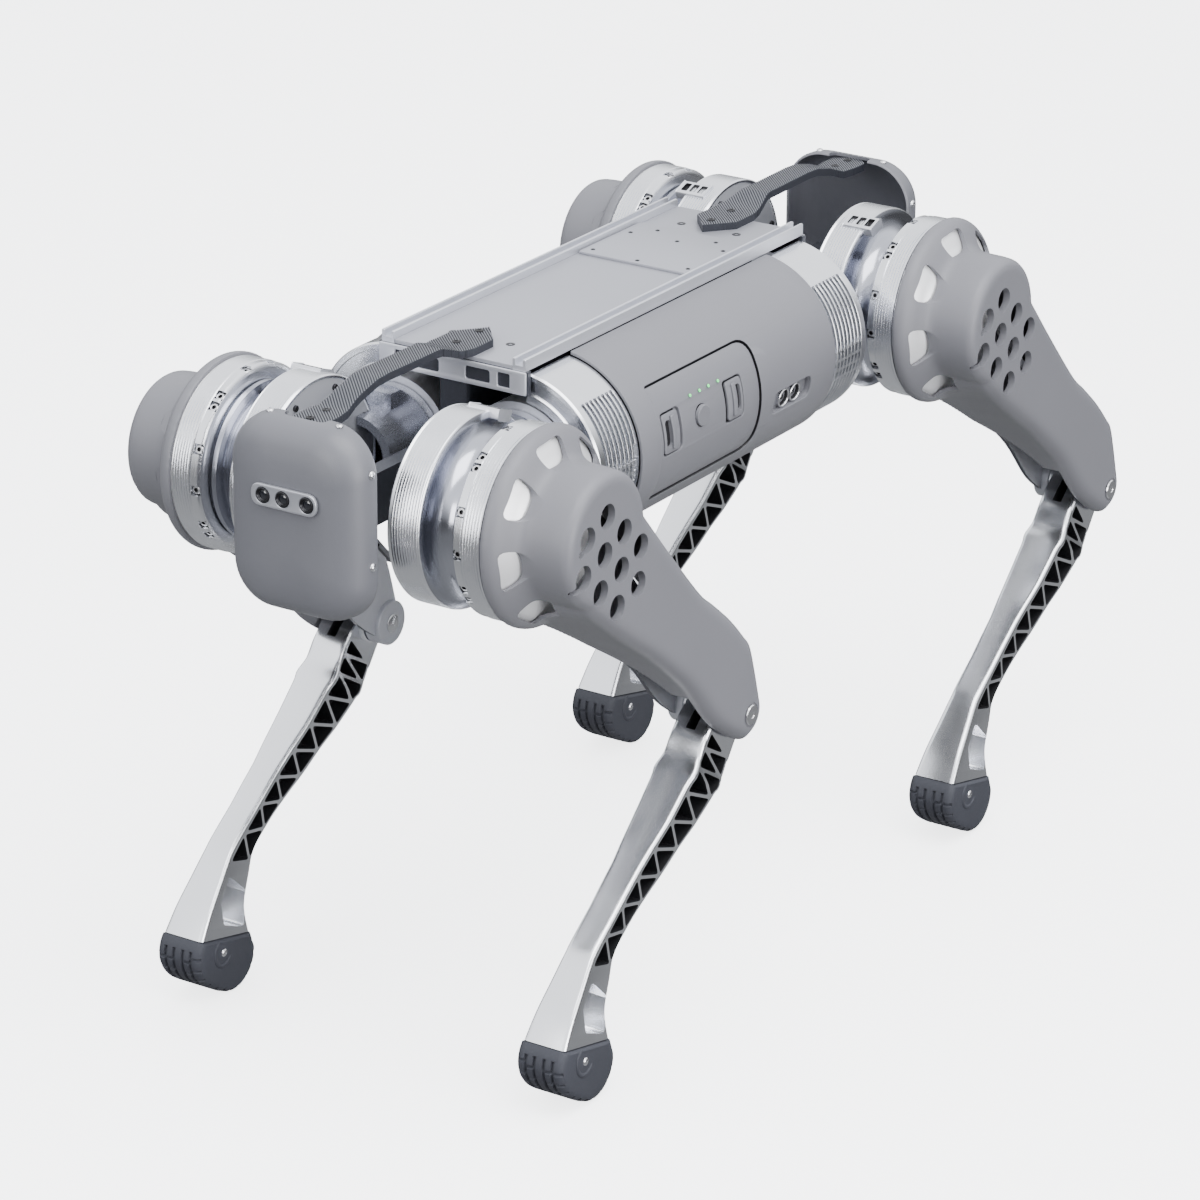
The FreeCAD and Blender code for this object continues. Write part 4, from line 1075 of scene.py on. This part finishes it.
HANDLE_PLAN = ((178, 0), (204, 22), (238, 22), (278, 13.5), (400, 13.5), (430, 18), (450, 18),
               (460, 6))
HANDLE_RISE = ((178, 0), (232, 0), (250, 1.5), (272, 9), (350, 10), (368, 9), (392, 3),
               (414, -5), (460, -6))


def handle():
    """Arched bar whose top has fine ribs at 45 degrees to its length."""
    pitch = 3.3
    rings = []
    place = 178.6
    while place < 467:
        for share, lift in ((0.0, 0.0), (0.42, 0.0), (0.52, -0.75), (0.9, -0.75)):
            across = place + share * pitch
            inside = [k * 0.25 for k in range(-100, 101)
                      if 178 < across + k * 0.25 < 460
                      and abs(k * 0.25) <= value_at(HANDLE_PLAN, across + k * 0.25)]
            if len(inside) > 3:
                ring = []
                low, high = inside[0], inside[-1]
                for k in range(11):
                    y = low + (high - low) * k / 10
                    drop = 0.8 if k in (0, 10) else 0
                    level = 92.5 + value_at(HANDLE_RISE, across + y) + 8 + lift - drop
                    ring.append((across + y, y, level))
                for k in range(10, -1, -1):
                    y = low + (high - low) * k / 10
                    ring.append((across + y, y, 92.55 + value_at(HANDLE_RISE, across + y)))
                rings.append(ring)
        place += pitch
    mesh = sweep(rings)
    # The tops of the ribs take the second, lighter material: painted highlight on the ribs; the
    # grooves keep the dark handle colour.
    for polygon in mesh.polygons:
        if polygon.normal.z > 0.6:
            heights = [mesh.vertices[v].co for v in polygon.vertices]
            lifts = [c.z - 100.5 - value_at(HANDLE_RISE, c.x) for c in heights]
            if min(lifts) > -0.9 and sum(lifts) / len(lifts) > -0.45:
                polygon.material_index = 1
    return mesh


# --- camera bar
LENSES = (-20.5, 0, 25)


def camera_bar():
    """Pale bar with a round hole for each camera and a plate behind them."""
    pill = rounded(rectangle(-33, 35, 24, 44), 9.8, 8)
    holes = [circle(y, 34, 7.2, 32) for y in LENSES]
    front = plate([pill] + holes, 3.4, 0.9)
    smaller = [(1 + (y - 1) * 0.96, 34 + (z - 34) * 0.9) for y, z in pill]
    back = plate([smaller], 1.6, 0.2)
    return joined(moved(front, 486.4, turn=FACING_X), moved(back, 485.6, turn=FACING_X))


def lens(y):
    """Stepped ring and domed glass of one camera."""
    ring = lathe([(4.2, 0), (7.0, 0), (7.0, 3.2), (6.5, 3.7), (5.7, 3.7), (4.8, 2.0), (4.2, 1.8)],
                 40)
    glass = lathe([(0, 0.2), (4.9, 0.2), (4.8, 1.4), (3.4, 2.0), (1.8, 2.3), (0, 2.4)], 40)
    return (moved(ring, 486.8, y, 34, TO_X), moved(glass, 486.8, y, 34, TO_X))


# --- placing: legs
leg_pieces("thigh_shell", thigh_cover(), "thigh", ["cover", "black"],
           ["thigh_cover"])
frame_plate, motor_face = thigh_frame()
leg_pieces("thigh_plate", frame_plate, "thigh", ["plate_metal", "slate"],
           ["thigh_frame"])
leg_pieces("motor_face", motor_face, "thigh", "face_metal")
leg_pieces("knee_bolt", moved(knee_pin(), 0, 0, -THIGH), "thigh", "steel", ["knee_pin"])
drum, drum_screws = knee_drum()
leg_pieces("knee_drum", drum, "thigh", "turned", ["knee_motor"])
leg_pieces("knee_drum_screws", drum_screws, "thigh", ["steel", "black"])
drum, drum_screws = thigh_drum()
leg_pieces("thigh_drum", drum, "hip", ["turned", "plate_metal", "dish_metal_dark_reflection"],
           ["thigh_motor"])
leg_pieces("thigh_drum_screws", drum_screws, "hip", ["black_steel", "black"])
leg_pieces("connector_block", connector_block(), "hip", ["cast", "black"])
leg_pieces("shin_blade", shin(), "shin", ["shin_metal", "black"], ["shin"])
leg_pieces("shin_lever", shin_lever(), "shin", "cast")
leg_pieces("foot_boot", foot(), "shin", "rubber", ["foot"])
foot_screw = joined(moved(dome_screw(4.2, 2.2), FOOT.x, LEG_MID + 24.6, FOOT.y),
                    moved(dome_screw(4.2, 2.2), FOOT.x, LEG_MID - 24.6, FOOT.y, OVER))
leg_pieces("foot_screw", foot_screw, "shin", "steel")

# --- placing: trunk
for side, sign in SIDES.items():
    trunk_piece(f"barrel_cover_{side}", side_cover(sign), ["cover", "black"],
                [f"side_cover_{side}"])
trunk_piece("battery_case", battery(), ["cover", "black"], ["battery_pack"],
            "battery")
for end, place, pocket in (("front", 115, 5), ("rear", 8, -5)):
    trunk_piece(f"latch_slide_{end}", latch(place, pocket), ["cover", "black"],
                [f"battery_latch_{end}"], f"latch_{end}")
button = lathe([(0, 151.4), (9.8, 151.4), (9.8, 154.5), (9.2, 155), (0, 155)], 48)
trunk_piece("round_button", moved(button, 65, 0, 13.5), "cover",
            ["power_button"], "button")
light = plate([circle(0, 0, 1.5, 16)], 0.6, 0.15)
height = BARREL_RADIUS * math.asin(35 / BARREL_RADIUS)
lights = [wrapped(moved(light, x, height, -0.3)) for x in (78, 62, 47, 31)]
trunk_piece("charge_lights", joined(*lights), "green_light", (), "battery")
trunk_piece("barrel_housings", joined(housing(1), housing(-1)), "barrel_metal",
            ["hip_motor_housings"])
trunk_piece("deck_plate", deck(), "deck", ["top_plate"])
panel = moved(plate([rectangle(-166, -59, -61, 61, 2)], 2.8, 0.5), 0, 0, 92.5)
trunk_piece("service_panel", panel, "deck", ["rear_deck_panel"])
trunk_piece("slot_rails", joined(rail(1), rail(-1)), "rail", ["accessory_rails"])
big = [(x, y) for x in (190, -190) for y in (30.5, -30.5)]
trunk_piece("deck_screws", countersunk(big, 92.5, 4.2), "black_steel")
small = [(-70, 52), (-70, -52), (-65, 0), (-133, 51), (-133, -51), (-152, -33), (-151, 32),
         (-134, 0)]
trunk_piece("panel_screws", countersunk(small, 95.3, 2.2), "black_steel")
trunk_piece("deck_ends", joined(fascia(1), fascia(-1)), "rail")
shell, screws, bar = moved(head_shell(), -4), moved(head_screws(), -4), handle()
for end, turn in (("front", None), ("rear", HALF_TURN)):
    trunk_piece(f"head_{end}", moved(shell, turn=turn),
                ["head", "head_inside_shaded", "cover"], [f"head_shell_{end}"])
    trunk_piece(f"head_screws_{end}", moved(screws, turn=turn), "steel")
    trunk_piece(f"carry_handle_{end}", moved(bar, turn=turn),
                ["handle_low", "handle_rib_highlight"], [f"handle_{end}"])
    deck_end = countersunk([(194, 0), (230, 0)], 100.9, 3.8)
    head_end = countersunk([(424.5, 0), (448, 0)], 95.4, 3.8)
    trunk_piece(f"handle_screws_{end}", moved(joined(deck_end, head_end), turn=turn),
                "black")
trunk_piece("sensor_bar", camera_bar(), "silver_plastic", ["camera_bar"])
rings, glasses = zip(*[lens(y) for y in LENSES])
trunk_piece("lens_rings", joined(*rings), "black_steel")
trunk_piece("lens_glass", joined(*glasses), "glass", ["camera_lenses"])
recess, ring_pair, cup_pair = ports()
trunk_piece("port_recess", recess, "cover", ["port_connectors"])
trunk_piece("port_rings", ring_pair, "steel")
trunk_piece("port_cups", cup_pair, "black")

# --- CAD pieces that stay
KEPT = {"chassis_frame": "dark_metal", "hip_motors": "cast", "main_computer": "slate"}
for end in ENDS:
    for side in SIDES:
        KEPT[f"hip_link_{end}_{side}"] = "hub_metal"
        KEPT[f"crank_{end}_{side}"] = "plate_metal"
        KEPT[f"push_rod_{end}_{side}"] = "steel"
for node, look in KEPT.items():
    kept = frame["nodes"][node]
    for place in kept.material_slots:
        place.material = MATERIALS[look]

# --- stage, lights and camera
floor = bpy.data.objects.new("floor", plate([circle(0, 0, 60, 96)], 0.02, 0.001))
floor.location = (0, 0, -0.0201)
ring = lathe([(59, -0.01), (60, -0.01), (60, 40), (59, 40)])
backdrop = bpy.data.objects.new("backdrop", moved(ring, turn=TO_Z))
backdrop.visible_shadow = False
pale = material("floor_paint", (0.86, 0.865, 0.88), 0.6, grain=300, bump=0.02, vary=0.01,
                emission=(3.0, 3.02, 3.06))
for stage in (floor, backdrop):
    bpy.context.scene.collection.objects.link(stage)
    stage.data.materials.append(pale)
    stage.visible_diffuse = False
    stage.visible_glossy = False

world = bpy.data.worlds.new("studio")
world.use_nodes = True
tree = world.node_tree
sky = tree.nodes["Background"]
sky.inputs["Strength"].default_value = 2.2
direction = add_node(tree, "TexCoord")
split = add_node(tree, "SeparateXYZ")
height = add_node(tree, "MapRange", From_Min=-1)
shade = add_node(tree, "ValToRGB")
shade.color_ramp.interpolation = "EASE"
levels = ((0.0, 0.22), (0.28, 0.16), (0.46, 0.05), (0.56, 0.28), (0.72, 1.0), (1.0, 0.9))
for number, (place, level) in enumerate(levels):
    ramp = shade.color_ramp.elements
    stop = ramp[number] if number < 2 else ramp.new(place)
    stop.position = place
    stop.color = (level * 0.95, level * 0.97, level, 1)
tree.links.new(direction.outputs["Generated"], split.inputs["Vector"])
tree.links.new(split.outputs["Z"], height.inputs["Value"])
tree.links.new(height.outputs["Result"], shade.inputs["Fac"])
tree.links.new(shade.outputs["Color"], sky.inputs["Color"])
bpy.context.scene.world = world


def softbox(name, place, size, power):
    """An area light that points at the middle of the robot."""
    lamp = bpy.data.lights.new(name, "AREA")
    lamp.shape = "RECTANGLE"
    lamp.size, lamp.size_y = size
    lamp.energy = power
    thing = bpy.data.objects.new(name, lamp)
    thing.location = place
    thing.rotation_euler = (Vector((0, 0, 0.4)) - Vector(place)).to_track_quat("-Z", "Y").to_euler()
    bpy.context.scene.collection.objects.link(thing)


softbox("key", (0.6, 1.2, 3.2), (2.6, 2.6), 130)
softbox("left", (1.0, 3.4, 0.7), (2.2, 1.8), 115)
softbox("front", (3.6, -0.6, 1.2), (1.4, 1.6), 50)

AZIMUTH, ELEVATION, ROLL = 0.5736, 0.382, 0.0055
forward = -Vector((math.cos(ELEVATION) * math.cos(AZIMUTH),
                   math.cos(ELEVATION) * math.sin(AZIMUTH), math.sin(ELEVATION)))
right = forward.cross(Vector((0, 0, 1))).normalized()
upward = right.cross(forward)
turned_right = right * math.cos(ROLL) + upward * math.sin(ROLL)
turned_up = upward * math.cos(ROLL) - right * math.sin(ROLL)
lens_data = bpy.data.cameras.new("camera")
lens_data.lens = 153.105
lens_data.sensor_width = 36
lens_data.clip_end = 100
camera = bpy.data.objects.new("camera", lens_data)
spot = TRUNK + Vector((3.7209, 2.407, 1.5598))
axes = Matrix((turned_right, turned_up, -forward)).transposed().to_4x4()
camera.matrix_world = Matrix.Translation(spot) @ axes
bpy.context.scene.collection.objects.link(camera)
bpy.context.scene.camera = camera
